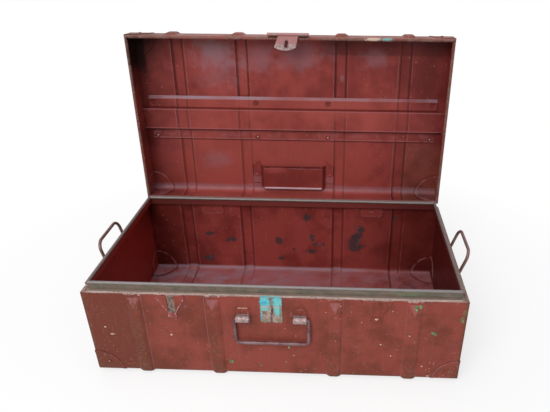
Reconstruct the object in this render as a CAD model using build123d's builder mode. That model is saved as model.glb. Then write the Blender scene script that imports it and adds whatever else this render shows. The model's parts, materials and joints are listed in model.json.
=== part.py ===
from build123d import *

import os
from math import atan2, cos, degrees, radians, sin

# A small sheet-steel trunk with its lid open. The origin is on the floor under the middle of the
# base, +X to the right, +Y to the back, +Z up. The lid is modelled in a frame of its own, whose
# axes match the base's when the lid is shut, with z = 0 on the lid's rim.

# ---- Body ----
width = 600.0  # outside, from end panel to end panel
depth = 320.0  # outside, front wall to back wall
base_height = 162.0  # underside of the bottom sheet to the shoulder
lid_height = 50.0  # rim to the outside of the lid's top
open_angle = 93.0  # lean of the open lid, where the hinges' heels stop it
sheet = 1.0  # body sheet
base_bend = 10.0  # outer radius of the base's long bottom edges
lid_bend = 12.0  # outer radius of the lid's long top edges
lap_gap = 0.1  # clearance between lapped or mitred sheets
rim_gap = 0.5  # shut lid's rim above the shoulder
end_lap = 12.0  # depth of the end panels' laps inside the wraps

# ---- Pressed ribs of both wraps ----
rib_rise = 3.5
rib_width = 25.0
rib_crown = 15.0
rib_edge = 9.0  # rounding of the crown's edges
outer_rib_inset = 81.0  # from an end of the trunk to the outer ribs
inner_rib_offset = 95.5  # from the middle of the trunk to the inner ribs
rib_margin = 10.0  # from the open edge to the ribs' ends
rib_end_run = 12.0  # length of the slope at each end of a rib

# ---- Wired edges, and the collar that guides the lid ----
wire_radius = 1.5
wire_gap = 0.05
bead_wall = 1.2
shoulder_ledge = 5.0  # folded top edge of the base's walls
ledge_leg = 3.0  # leg that joins an end panel to its ledge
collar_inset = 9.3  # outer face of the base to the collar's face
collar_rise = 12.0  # shoulder to the middle of the collar's bead

# ---- Corner plates ----
corner_radius = 44.0  # of the outer caps
inner_corner_radius = 42.5
corner_sheet = 0.6
corner_ridge = 0.8  # height of the pressed ridge along an inner plate's arc
cap_ridge = 0.3  # the same on an outer cap
corner_ridge_width = 5.0
corner_rivet = 21.0  # from the corner's walls to a rivet

# ---- Rivets ----
rivet_shank = 1.5
rivet_head = 3.2
rivet_dome = 1.5
rivet_tail = 2.7
rivet_tail_rise = 0.9
rivet_gap = 0.05

# ---- Fittings in plate ----
plate = 1.2

# ---- Hinges ----
hinge_shift = 7.25  # middle of a bay between ribs to the middle of a hinge, outward
hinge_width = 45.0
hinge_leaf = 27.0  # pin to the far edge of a leaf
hinge_leaf_corner = 6.0
hinge_knuckle = 3.2  # outer radius
hinge_middle = 15.0  # length of the lid leaf's knuckle
hinge_pin = 1.8
pin_gap = 0.05  # radial clearance of every pin
pin_head = 2.6
pin_head_rise = 1.0
knuckle_gap = 0.3  # between knuckles, and from knuckles to walls
hinge_base_rivet = 10.6  # from the pin
hinge_lid_rivet = 15.0
heel_length = 6.5  # pin to the tip of the heels that stop the lid
heel_sheet = 1.5
heel_gap = 0.25
backing_height = 20.0
backing_corner = 6.0

# ---- Lock plate and staple ----
lock_width = 35.0
lock_height = 48.5
lock_drop = 0.5  # shoulder to the plate's top
lock_corner = 4.0
lock_step = 12.0  # top edge to the raised lower panel
lock_step_rise = 1.2
lock_step_margin = 3.5
lock_step_taper = 30.0  # lean of the raised panel's sides, in degrees
lock_rivet_margin = 8.0  # from the panel's lower corners
staple_wire = 1.3
staple_height = 11.0  # over the wire
staple_reach = 16.0
staple_bend = 4.0
staple_gap = 0.05
staple_head = 2.4
staple_head_rise = 1.0

# ---- Hasp ----
hasp_leaf_width = 73.0
hasp_leaf_height = 26.0
hasp_leaf_low = 5.0  # rim to the flat leaf's lower edge
hasp_leaf_corner = 5.0
hasp_leaf_clear = 3.5  # rim to where the leaf bends outward
hasp_knuckle = 2.8
hasp_pin = 1.5
hasp_pin_out = 5.2  # lid's front face to the pin
hasp_pin_drop = 5.5  # rim down to the pin
hasp_flap_sheet = 1.4
hasp_flap_width = 36.0
hasp_flap_foot = 39.0
hasp_flap_length = 27.5
hasp_flap_shoulder = 22.0  # pin to the lower corners
hasp_flap_lean = 6.0  # the bent flap's lower edge stands this far left
hasp_slot_width = 5.6
hasp_slot_height = 12.4
hasp_slot_drop = 16.5  # pin to the middle of the slot
hasp_rivet_offset = 27.0
hasp_rivet_rise = 19.0

# ---- Catch plates beside the lock ----
catch_shift = 2.75  # middle of a bay between ribs to the middle of a plate, outward
catch_width = 44.0
catch_tip = 14.0
catch_height = 41.0
catch_side = 6.0  # straight part of its sides
catch_drop = 2.0
catch_thick = 2.0
catch_strip = 14.0
catch_strip_height = 31.0
catch_strip_floor = 0.8
catch_hole = 1.5
catch_hole_inset = 4.0  # holes from the strip's upper corners
catch_rivet_rise = 5.5

# ---- Bail handles ----
bail_wire = 2.75
bail_gap = 0.08
bail_bend = 3.0  # bend beside a lug
bail_tail = 1.5  # bail's end past a lug
lug_radius = 5.6
lug_play = 0.3
lug_standoff = 0.1  # wall to the tube
lug_tab = 18.5  # pivot to the top of the tab
lug_tab_corner = 6.0
lug_rivet_rise = 12.5
front_bail_span = 117.0  # between the legs' middles
front_bail_drop = 47.5
front_bail_corner = 8.0
front_lug_length = 20.5
front_pivot_drop = 39.5  # shoulder to the pivot
side_bail_span = 86.0
side_bail_drop = 50.0
side_bail_corner = 16.0
side_lug_length = 16.0
side_pivot_drop = 32.0
left_bail_lean = 13.0  # outward lean of the raised bail
right_bail_lean = 18.0

# ---- Stiffener across the lid ----
stiffener_sheet = 1.0
stiffener_rise = 11.0
stiffener_front = -18.0  # the face's front edge from the middle of the lid
stiffener_face = 40.0
stiffener_flank = 2.0
stiffener_front_flange = 16.0
stiffener_bevel = 6.0  # run of the bevel from the lid's top to the raised front flange
stiffener_lift = 2.5
dimple_floor = 3.8  # radius of the flat round a rivet in the raised flange
dimple_mouth = 6.6
dimple_skirt = 0.4  # the same cones on the other side of the sheet
stiffener_back_flange = 21.0
stiffener_end_gap = 14.0  # outside of the end panel to the flanges' ends
stiffener_tab_slope = 11.0
stiffener_rim_gap = 1.0
stiffener_inner_rivet = 71.5
stiffener_outer_rivet_inset = 23.0
stiffener_front_rivet = 10.5  # from the face's edge
stiffener_back_rivet = 17.0
stiffener_tab_rivet = 6.5  # above the tab's lower edge

# ---- Pocket strap on the lid ----
pocket_width = 170.0
pocket_face = 122.0
pocket_flank = 8.0
pocket_rise = 11.0
pocket_sheet = 1.0
pocket_inset = 61.0  # outer face of the lid's rear wall to the strap's front edge
pocket_depth = 47.5
pocket_lip = 3.2
pocket_ear = 9.0
pocket_ear_chamfer = 10.0
pocket_rivet_run = 21.5
pocket_rivet_margin = 8.0

# ---- Places worked out from the sizes above ----
half_width = width / 2
half_depth = depth / 2
underside = rib_rise
shoulder = underside + base_height
hinge_y = half_depth + hinge_knuckle + knuckle_gap
hinge_z = shoulder + rim_gap
bead_bore = wire_radius + wire_gap
bead_radius = bead_bore + bead_wall
lap_face = sheet + lap_gap  # outside of a wrap to the outside of a lap within it
lap_back = lap_face + sheet
rib_run = (rib_width - rib_crown) / 2
rib_wall = sheet / sin(atan2(rib_rise, rib_run))  # a rib's flank, measured along x
rib_places = (
    outer_rib_inset - half_width,
    -inner_rib_offset,
    inner_rib_offset,
    half_width - outer_rib_inset,
)
bay_middle = (inner_rib_offset + half_width - outer_rib_inset) / 2
hinge_offset = bay_middle + hinge_shift
catch_offset = bay_middle + catch_shift
pocket_front = half_depth - pocket_inset
lug_out = lug_standoff + lug_radius
lock_x = -hasp_flap_lean * hasp_slot_drop / hasp_flap_length
lock_top = shoulder - lock_drop
staple_z = hinge_z - hasp_pin_drop - hasp_slot_drop
lean = radians(open_angle)

base = Plane.XY
lid = Plane(
    origin=(0, hinge_y * (1 - cos(lean)), hinge_z + hinge_y * sin(lean)),
    x_dir=(1, 0, 0),
    z_dir=(0, sin(lean), cos(lean)),
)

# A tub is the trough of the base or of the lid: its frame, the height of its closed side, the
# height of its open side, and the outer radius of its two long bends.
base_tub = (base, underside, shoulder, base_bend)
lid_tub = (lid, lid_height, bead_radius, lid_bend)
outward = {"front": (0, -1), "back": (0, 1), "left": (-1, 0), "right": (1, 0)}
ends = {"left": -1, "right": 1}


# ---- Planes ----
def section_plane(frame, x):
    """Plane square to the frame's x axis: sketch x is the frame's y, sketch y is its z."""
    return Plane(frame.from_local_coords((x, 0, 0)), x_dir=frame.y_dir, z_dir=frame.x_dir)


def wall_plane(frame, side, at, z, out=0.0):
    """Plane on a wall's outer face, or out from it: sketch x runs along the wall, y up."""
    across, ahead = outward[side]
    x = across * (half_width + out) if across else at
    y = ahead * (half_depth + out) if ahead else at
    normal = frame.x_dir * across + frame.y_dir * ahead
    return Plane(frame.from_local_coords((x, y, z)), x_dir=frame.z_dir.cross(normal), z_dir=normal)


def edge_plane(frame, side, z):
    """Level plane at the middle of a wall's outer face: sketch x along it, y into the trunk."""
    wall = wall_plane(frame, side, 0, z)
    return Plane(wall.origin, x_dir=wall.x_dir, z_dir=frame.z_dir)


def closed_plane(tub, x, y, out=0.0):
    """Plane on the outside of a tub's closed side, or out from it, looking outward."""
    frame, closed, opened, _ = tub
    way = 1 if closed > opened else -1
    spot = frame.from_local_coords((x, y, closed + way * out))
    return Plane(spot, x_dir=frame.x_dir, z_dir=frame.z_dir * way)


def flipped(plane, grip):
    """The plane on the far side of a stack of sheets, looking the other way."""
    return Plane(plane.origin - plane.z_dir * grip, x_dir=-plane.x_dir, z_dir=-plane.z_dir)


# ---- Sheet-metal bodies ----
def tub_points(tub, grow, stop):
    """Corners of a tub's cross-section, moved outward by grow, from front edge to back edge."""
    _, closed, opened, _ = tub
    way = 1 if closed > opened else -1
    side = half_depth + grow
    level = closed + way * grow
    return ((-side, stop), (-side, level), (side, level), (side, stop))


def tub_block(tub, grow, x_from, x_to, stop):
    """Filled block with the tub's outline moved outward by grow, between two places along x."""
    frame, _, _, bend = tub
    with BuildPart() as block:
        with BuildSketch(section_plane(frame, min(x_from, x_to))):
            with BuildLine():
                run = FilletPolyline(*tub_points(tub, grow, stop), radius=bend + grow)
                Line(run @ 1, run @ 0)
            make_face()
        extrude(amount=abs(x_to - x_from))
    return block.part


def rib_sweep(tub, x, shift, foot, crown, edge, start):
    """Rib's trapezoid swept along a tub's outside, from its front edge over its closed side.

    Its foot and crown are heights over the sheet, shift moves both flanks in, and start is where
    the slope at each end leaves the sheet's outer face, from the open edge.
    """
    frame, closed, opened, bend = tub
    way = -1 if closed > opened else 1
    half_foot = rib_width / 2 - shift - foot * rib_run / rib_rise
    half_crown = rib_width / 2 - shift - crown * rib_run / rib_rise
    corners = (
        (-half_foot, way * foot),
        (-half_crown, way * crown),
        (half_crown, way * crown),
        (half_foot, way * foot),
    )
    with BuildPart() as rib:
        with BuildLine(section_plane(frame, x)) as run:
            FilletPolyline(*tub_points(tub, 0, opened - way * rib_margin), radius=bend)
        with BuildSketch(Plane(run.line @ 0, x_dir=frame.x_dir, z_dir=run.line % 0)):
            with BuildLine():
                FilletPolyline(*corners, radius=(0, edge, edge, 0), close=True)
            make_face()
        sweep(path=run.line)
        with BuildSketch(section_plane(frame, x - rib_width)):
            for wall in (-1, 1):
                outer_y = wall * (half_depth + 2 * rib_rise)
                inner_y = wall * (half_depth - 2 * rib_rise)
                beyond = opened + way * 2 * rib_end_run
                with BuildLine():
                    Polyline(
                        (inner_y, opened - way * (start - 2 * rib_end_run)),
                        (outer_y, opened - way * (start + 2 * rib_end_run)),
                        (outer_y, beyond),
                        (inner_y, beyond),
                        close=True,
                    )
                make_face()
        extrude(amount=2 * rib_width, mode=Mode.SUBTRACT)
    return rib.part


def rib_bulges(tub):
    """The outsides of a wrap's ribs."""
    size = (0, -sheet / 2, rib_rise, rib_edge, rib_margin)
    return [rib_sweep(tub, x, *size) for x in rib_places]


def rib_channels(tub):
    """The insides of a wrap's ribs, a sheet's thickness within their outsides."""
    start = rib_margin + sheet / sin(atan2(rib_rise, rib_end_run))
    size = (rib_wall, -2 * sheet, rib_rise - sheet, rib_edge - sheet, start)
    return [rib_sweep(tub, x, *size) for x in rib_places]


def edge_strip(frame, side, level, start, boxes, bead=None):
    """Strip along a wall's edge, cut at 45 degrees at both ends; start shortens each end.

    Each box is (inset, inset, height, height) from the wall's outer face and from the level, and
    bead is the middle of a round bead.
    """
    edge = edge_plane(frame, side, level)
    half = half_width if side in ("front", "back") else half_depth
    corner = edge.from_local_coords((-half, 0, 0))
    reach = 2 * (collar_inset + collar_rise)
    with BuildPart() as strip:
        with BuildSketch(Plane(corner, x_dir=edge.y_dir, z_dir=edge.x_dir)):
            for near, deep, low, high in boxes:
                with Locations(((near + deep) / 2, (low + high) / 2)):
                    Rectangle(deep - near, high - low)
            if bead:
                with Locations(bead):
                    Circle(bead_radius)
        extrude(amount=2 * half)
        with BuildSketch(edge.offset(-reach)):
            with BuildLine():
                Polyline(
                    (start - half, 0),
                    (half - start, 0),
                    (half - start - reach, reach),
                    (start + reach - half, reach),
                    close=True,
                )
            make_face()
        extrude(amount=2 * reach, mode=Mode.INTERSECT)
    return strip.part


def wire_ring(frame, inset, level, radius):
    """Round wire laid once round the trunk, inset from its walls' outer faces."""
    x = half_width - inset
    y = half_depth - inset
    with BuildPart() as loop:
        with BuildLine(frame.offset(level)) as run:
            Polyline((0, -y), (x, -y), (x, y), (-x, y), (-x, -y), (0, -y))
        with BuildSketch(Plane(run.line @ 0, x_dir=frame.z_dir, z_dir=frame.x_dir)):
            Circle(radius)
        sweep(path=run.line, transition=Transition.RIGHT)
    return loop.part


def end_pan(tub, side, face_stop, lap_stop):
    """End panel's sheet: its face, level with the wrap's edge, and its lap inside the wrap."""
    way = ends[side]
    outer = way * half_width
    inner = way * (half_width - sheet)
    lap_end = way * (half_width - end_lap)
    _, closed, opened, _ = tub
    beyond = opened - (closed - opened)
    with BuildPart() as pan:
        add(tub_block(tub, -lap_face, outer, lap_end, lap_stop))
        add(tub_block(tub, -lap_back, inner, lap_end - way * sheet, beyond), mode=Mode.SUBTRACT)
        add(tub_block(tub, -lap_face, outer, inner, face_stop))
    return pan.part


def corner_shell(tub, corner, radius, near, deep, end_near, end_deep, hollow=0.0):
    """Shell of the tub's shape round one corner, within a ball on that corner.

    near and deep are how far the shell's faces stand outside the tub's walls, end_near and
    end_deep outside its end. A hollow ball leaves only a ridge along the shell's edge. The right
    corners are the left ones mirrored.
    """
    way_x, way_y = corner
    frame, closed, opened, _ = tub
    start = 2 * radius - half_width
    with BuildPart() as shell:
        with Locations(frame.from_local_coords((-half_width, way_y * half_depth, closed))):
            Sphere(radius)
            if hollow:
                Sphere(hollow, mode=Mode.SUBTRACT)
        add(tub_block(tub, deep, start, -half_width - end_deep, opened), mode=Mode.INTERSECT)
        add(tub_block(tub, near, start + radius, -half_width - end_near, opened), mode=Mode.SUBTRACT)
    if way_x > 0:
        return mirror(shell.part, about=Plane.YZ, mode=Mode.PRIVATE)
    return shell.part


# ---- Rivets ----
def rivet(grip):
    """Rivet through a stack of sheets as thick as grip: its dome on z = 0, its tail below."""
    tail = -grip - rivet_tail_rise
    with BuildPart() as piece:
        with BuildSketch(Plane.XZ):
            with BuildLine():
                dome = ThreePointArc(
                    (0, rivet_dome),
                    (rivet_head * sin(radians(45)), rivet_dome * cos(radians(30))),
                    (rivet_head, 0),
                )
                Polyline(
                    dome @ 1,
                    (rivet_shank, 0),
                    (rivet_shank, -grip),
                    (rivet_tail, -grip),
                    (rivet_tail - rivet_tail_rise / 2, tail),
                    (0, tail),
                    dome @ 0,
                )
            make_face()
        revolve(axis=Axis.Z)
    return piece.part


def rivet_holes(rivets):
    """The holes that a list of (plane, grip) rivets need, as one tool."""
    with BuildPart() as holes:
        for plane, grip in rivets:
            with BuildSketch(plane.offset(rivet_dome)):
                Circle(rivet_shank + rivet_gap)
            extrude(amount=-grip - 2 * rivet_dome)
    return holes.part


def corner_rivets(tub, corner):
    """The three rivets of one corner's plates: side wall, closed side, end panel."""
    way_x, way_y = corner
    frame, closed, opened, _ = tub
    x = way_x * (half_width - corner_rivet)
    y = way_y * (half_depth - corner_rivet)
    z = closed + (corner_rivet if closed < opened else -corner_rivet)
    side = "front" if way_y < 0 else "back"
    end = "left" if way_x < 0 else "right"
    wall_grip = lap_back + 2 * corner_sheet
    end_grip = sheet + 2 * corner_sheet
    return [
        (wall_plane(frame, side, x, z, corner_sheet), wall_grip),
        (closed_plane(tub, x, y, corner_sheet), wall_grip),
        (wall_plane(frame, end, y, z, corner_sheet), end_grip),
    ]


corners = {
    "front_left": (-1, -1),
    "front_right": (1, -1),
    "back_left": (-1, 1),
    "back_right": (1, 1),
}

# Each list holds (plane on the domed side, grip) and drives both rivets and holes.
catch_rivets = [
    (
        wall_plane(
            base,
            "front",
            ends[side] * catch_offset,
            shoulder - catch_drop - catch_height + catch_rivet_rise,
            catch_thick,
        ),
        catch_thick + sheet,
    )
    for side in ends
]
lock_rivets = [
    (
        wall_plane(
            base,
            "front",
            lock_x + way * (lock_width / 2 - lock_rivet_margin),
            lock_top - lock_height + lock_rivet_margin,
            plate + lock_step_rise,
        ),
        plate + lock_step_rise + sheet,
    )
    for way in (-1, 1)
]
base_leaf_rivets = [
    (
        wall_plane(base, "back", ends[side] * hinge_offset, hinge_z - hinge_base_rivet, plate),
        2 * plate + sheet,
    )
    for side in ends
]
lid_leaf_rivets = [
    (wall_plane(lid, "back", ends[side] * hinge_offset, hinge_lid_rivet, plate), plate + sheet)
    for side in ends
]
hasp_rivets = [
    (wall_plane(lid, "front", way * hasp_rivet_offset, hasp_rivet_rise, plate), plate + sheet)
    for way in (-1, 1)
]
front_lug_at = front_bail_span / 2 - bail_bend - lug_play - front_lug_length / 2
side_lug_at = side_bail_span / 2 - bail_bend - lug_play - side_lug_length / 2
front_pivot = shoulder - front_pivot_drop
side_pivot = shoulder - side_pivot_drop
lugs = {
    "front_lug_left": ("front", lock_x - front_lug_at, front_pivot, front_lug_length),
    "front_lug_right": ("front", lock_x + front_lug_at, front_pivot, front_lug_length),
    "left_lug_front": ("left", -side_lug_at, side_pivot, side_lug_length),
    "left_lug_back": ("left", side_lug_at, side_pivot, side_lug_length),
    "right_lug_front": ("right", -side_lug_at, side_pivot, side_lug_length),
    "right_lug_back": ("right", side_lug_at, side_pivot, side_lug_length),
}
lug_rivets = {
    name: (wall_plane(base, wall, at, pivot + lug_rivet_rise, plate), plate + sheet)
    for name, (wall, at, pivot, _) in lugs.items()
}
base_corner_rivets = {
    name: corner_rivets(base_tub, corner) for name, corner in corners.items()
}
lid_corner_rivets = {name: corner_rivets(lid_tub, corner) for name, corner in corners.items()}

stiffener_back = stiffener_front + stiffener_face
stiffener_level = lid_height - sheet - stiffener_rise  # the raised face's rim side
tab_low = 2 * bead_radius + stiffener_rim_gap
tab_rivet_y = (stiffener_front + stiffener_tab_slope + stiffener_back) / 2


def flange_rivets(y):
    """The four rivets through one of the stiffener's flanges."""
    spots = []
    for x in (stiffener_inner_rivet, half_width - stiffener_outer_rivet_inset):
        for way in (-1, 1):
            top = closed_plane(lid_tub, way * x, y)
            spots.append((flipped(top, sheet + stiffener_sheet), sheet + stiffener_sheet))
    return spots


front_flange_rivets = flange_rivets(stiffener_front - stiffener_front_rivet)
back_flange_rivets = flange_rivets(stiffener_back + stiffener_back_rivet)
tab_rivets = []
for side in ends:
    panel = wall_plane(lid, side, tab_rivet_y, tab_low + stiffener_tab_rivet)
    tab_rivets.append((flipped(panel, sheet + stiffener_sheet), sheet + stiffener_sheet))
pocket_rivets = []
for way in (-1, 1):
    top = closed_plane(
        lid_tub, way * (pocket_width / 2 - pocket_rivet_margin), pocket_front + pocket_rivet_run
    )
    pocket_rivets.append((flipped(top, sheet + pocket_sheet), sheet + pocket_sheet))

os.makedirs("parts", exist_ok=True)


def save(built, name):
    """Labels a finished piece and writes it to its own file."""
    built.part.label = name
    export_step(built.part, f"parts/{name}.step")


def flat(rivets_by_corner):
    """One list of all corners' rivets."""
    return [spot for spots in rivets_by_corner.values() for spot in spots]


# ---- Base: wrap, end panels, collar ----
staple_legs = [
    wall_plane(base, "front", lock_x, staple_z + way * (staple_height / 2 - staple_wire))
    for way in (-1, 1)
]
base_rivet_list = (
    flat(base_corner_rivets)
    + catch_rivets
    + lock_rivets
    + base_leaf_rivets
    + list(lug_rivets.values())
)
base_holes = rivet_holes(base_rivet_list)

with BuildPart() as base_wrap:
    add(tub_block(base_tub, 0, -half_width, half_width, shoulder))
    add(
        tub_block(base_tub, -sheet, -half_width - sheet, half_width + sheet, shoulder + base_height),
        mode=Mode.SUBTRACT,
    )
    add(rib_bulges(base_tub))
    add(rib_channels(base_tub), mode=Mode.SUBTRACT)
    for side in ("front", "back"):
        add(edge_strip(base, side, shoulder, -sheet, [(0, shoulder_ledge, -sheet, 0)]))
    add(base_holes, mode=Mode.SUBTRACT)
    for leg in staple_legs:
        with BuildSketch(leg):
            Circle(staple_wire + staple_gap)
        extrude(amount=-2 * sheet, mode=Mode.SUBTRACT)
save(base_wrap, "base_wrap")

for side in ends:
    ledge = [(0, shoulder_ledge, -sheet, 0), (0, sheet, -ledge_leg, 0)]
    with BuildPart() as base_end:
        add(end_pan(base_tub, side, shoulder - lap_face, shoulder - lap_face))
        add(edge_strip(base, side, shoulder, lap_face, ledge))
        add(base_holes, mode=Mode.SUBTRACT)
    save(base_end, f"base_end_{side}")

collar_middle = collar_inset + sheet / 2
collar_bore = wire_ring(base, collar_middle, shoulder + collar_rise, bead_bore)
collar_boxes = [
    (lap_back + lap_gap, collar_inset + sheet, -2 * sheet, -sheet),
    (collar_inset, collar_inset + sheet, -2 * sheet, collar_rise),
]
for side in outward:
    bead = (collar_middle, collar_rise)
    with BuildPart() as collar:
        add(edge_strip(base, side, shoulder, lap_gap, collar_boxes, bead))
        add(collar_bore, mode=Mode.SUBTRACT)
    save(collar, f"collar_{side}")

with BuildPart() as collar_wire:
    add(wire_ring(base, collar_middle, shoulder + collar_rise, wire_radius))
save(collar_wire, "collar_wire")

# ---- Corner plates: caps outside, plates inside ----
cap_hollow = corner_radius - corner_ridge_width
inner_hollow = inner_corner_radius - corner_ridge_width
for prefix, tub, spots in (
    ("base", base_tub, base_corner_rivets),
    ("lid", lid_tub, lid_corner_rivets),
):
    for name, corner in corners.items():
        holes = rivet_holes(spots[name])
        crest = corner_sheet + corner_ridge
        cap_crest = corner_sheet + cap_ridge
        with BuildPart() as cap:
            add(corner_shell(tub, corner, corner_radius, 0, corner_sheet, 0, corner_sheet))
            add(corner_shell(tub, corner, corner_radius, 0, cap_crest, 0, cap_crest, cap_hollow))
            add(holes, mode=Mode.SUBTRACT)
        save(cap, f"{prefix}_cap_{name}")
        outside = (-lap_back, -sheet)
        flat_inside = (-lap_back - corner_sheet, -sheet - corner_sheet)
        crest_inside = (-lap_back - crest, -sheet - crest)
        with BuildPart() as inner:
            for (wall_in, end_in), hollow in ((flat_inside, 0.0), (crest_inside, inner_hollow)):
                size = (wall_in, outside[0], end_in, outside[1], hollow)
                add(corner_shell(tub, corner, inner_corner_radius, *size))
            add(holes, mode=Mode.SUBTRACT)
        save(inner, f"{prefix}_corner_{name}")

# ---- Fittings on the base ----
with BuildPart() as lock_plate:
    with BuildSketch(wall_plane(base, "front", lock_x, lock_top - lock_height / 2)):
        RectangleRounded(lock_width, lock_height, lock_corner)
    extrude(amount=plate)
    panel_height = lock_height - lock_step - lock_step_margin
    panel_z = lock_top - lock_step - panel_height / 2
    with BuildSketch(wall_plane(base, "front", lock_x, panel_z, plate)):
        RectangleRounded(lock_width - 2 * lock_step_margin, panel_height, lock_corner / 2)
    extrude(amount=lock_step_rise, taper=lock_step_taper)
    add(rivet_holes(lock_rivets), mode=Mode.SUBTRACT)
    for leg in staple_legs:
        with BuildSketch(leg):
            Circle(staple_wire + staple_gap)
        extrude(amount=plate + 2 * lock_step_rise, mode=Mode.SUBTRACT)
save(lock_plate, "lock_plate")

staple_inside = -half_depth + sheet
with BuildPart() as staple:
    with BuildLine(section_plane(base, lock_x)) as run:
        reach = -half_depth - staple_reach + staple_wire
        half_rise = staple_height / 2 - staple_wire
        FilletPolyline(
            (staple_inside, staple_z + half_rise),
            (reach, staple_z + half_rise),
            (reach, staple_z - half_rise),
            (staple_inside, staple_z - half_rise),
            radius=staple_bend,
        )
    with BuildSketch(Plane(run.line @ 0, x_dir=base.x_dir, z_dir=run.line % 0)):
        Circle(staple_wire)
    sweep(path=run.line)
    for way in (-1, 1):
        with BuildSketch(wall_plane(base, "front", lock_x, staple_z + way * half_rise, -sheet)):
            Circle(staple_head)
        extrude(amount=-staple_head_rise)
save(staple, "staple")

for side, way in ends.items():
    top = wall_plane(base, "front", way * catch_offset, shoulder - catch_drop)
    with BuildPart() as catch_plate:
        with BuildSketch(top):
            with BuildLine():
                Polyline(
                    (-catch_width / 2, 0),
                    (-catch_width / 2, -catch_side),
                    (-catch_tip / 2, -catch_strip_height),
                    (-catch_tip / 2, -catch_height),
                    (catch_tip / 2, -catch_height),
                    (catch_tip / 2, -catch_strip_height),
                    (catch_width / 2, -catch_side),
                    (catch_width / 2, 0),
                    close=True,
                )
            make_face()
        extrude(amount=catch_thick)
        chamfer(catch_plate.faces().sort_by(Axis.Y)[0].edges(), length=catch_strip_floor / 2)
        with BuildSketch(top.offset(catch_strip_floor)):
            with Locations((0, -catch_strip_height / 2)):
                Rectangle(catch_strip - 2 * catch_strip_floor, catch_strip_height)
        extrude(amount=catch_thick, mode=Mode.SUBTRACT)
        with BuildSketch(top):
            for hole_way in (-1, 1):
                with Locations((hole_way * (catch_strip / 2 - catch_hole_inset), -catch_hole_inset)):
                    Circle(catch_hole)
        extrude(amount=catch_thick, mode=Mode.SUBTRACT)
        add(rivet_holes(catch_rivets), mode=Mode.SUBTRACT)
    save(catch_plate, f"catch_plate_{side}")

for name, (wall, at, pivot, length) in lugs.items():
    with BuildPart() as lug:
        with BuildSketch(wall_plane(base, wall, at, pivot)):
            with BuildLine():
                FilletPolyline(
                    (-length / 2, 0),
                    (-length / 2, lug_tab),
                    (length / 2, lug_tab),
                    (length / 2, 0),
                    radius=(0, lug_tab_corner, lug_tab_corner, 0),
                    close=True,
                )
            make_face()
        extrude(amount=plate)
        axis_plane = wall_plane(base, wall, at, pivot, lug_out)
        tube_start = axis_plane.from_local_coords((-length / 2, 0, 0))
        with BuildSketch(Plane(tube_start, x_dir=axis_plane.z_dir, z_dir=axis_plane.x_dir)):
            Circle(lug_radius)
        extrude(amount=length)
        with BuildSketch(Plane(tube_start, x_dir=axis_plane.z_dir, z_dir=axis_plane.x_dir)):
            Circle(bail_wire + bail_gap)
        extrude(amount=length, mode=Mode.SUBTRACT)
        add(rivet_holes([lug_rivets[name]]), mode=Mode.SUBTRACT)
    save(lug, name)


def bail(plane, span, drop, corner, lug_length):
    """Wire bail in a plane whose sketch x runs along the pivot; its bar stands drop below it."""
    inner = span / 2 - bail_bend - lug_play - lug_length - bail_tail
    with BuildPart() as wire:
        with BuildLine(plane) as run:
            FilletPolyline(
                (-inner, 0),
                (-span / 2, 0),
                (-span / 2, -drop),
                (span / 2, -drop),
                (span / 2, 0),
                (inner, 0),
                radius=(bail_bend, corner, corner, bail_bend),
            )
        with BuildSketch(Plane(run.line @ 0, x_dir=plane.z_dir, z_dir=run.line % 0)):
            Circle(bail_wire)
        sweep(path=run.line)
    return wire.part


with BuildPart() as front_handle:
    add(
        bail(
            wall_plane(base, "front", lock_x, front_pivot, lug_out),
            front_bail_span,
            front_bail_drop,
            front_bail_corner,
            front_lug_length,
        )
    )
save(front_handle, "front_handle")

for side, bail_lean in (("left", left_bail_lean), ("right", right_bail_lean)):
    pivot_plane = wall_plane(base, side, 0, side_pivot, lug_out)
    raised = pivot_plane.y_dir * cos(radians(bail_lean)) + pivot_plane.z_dir * sin(radians(bail_lean))
    turned = Plane(
        pivot_plane.origin, x_dir=pivot_plane.x_dir, z_dir=raised.cross(pivot_plane.x_dir)
    )
    with BuildPart() as side_handle:
        add(bail(turned, side_bail_span, side_bail_drop, side_bail_corner, side_lug_length))
    save(side_handle, f"side_handle_{side}")

# ---- Hinges ----
outer_knuckle = (hinge_width - hinge_middle) / 2 - knuckle_gap


def knuckle(frame, x, length, z):
    """Hinge knuckle: a curl of the leaf round the pin, solid until its bore is cut."""
    with BuildPart() as curl:
        with BuildSketch(section_plane(frame, x)):
            with Locations((hinge_y, z)):
                Circle(hinge_knuckle)
        extrude(amount=length)
    return curl.part


def hinge_bore(x):
    """The bore through a hinge's knuckles, as a tool."""
    with BuildPart() as bore:
        with BuildSketch(section_plane(base, x - hinge_width)):
            with Locations((hinge_y, hinge_z)):
                Circle(hinge_pin + pin_gap)
        extrude(amount=2 * hinge_width)
    return bore.part


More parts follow.
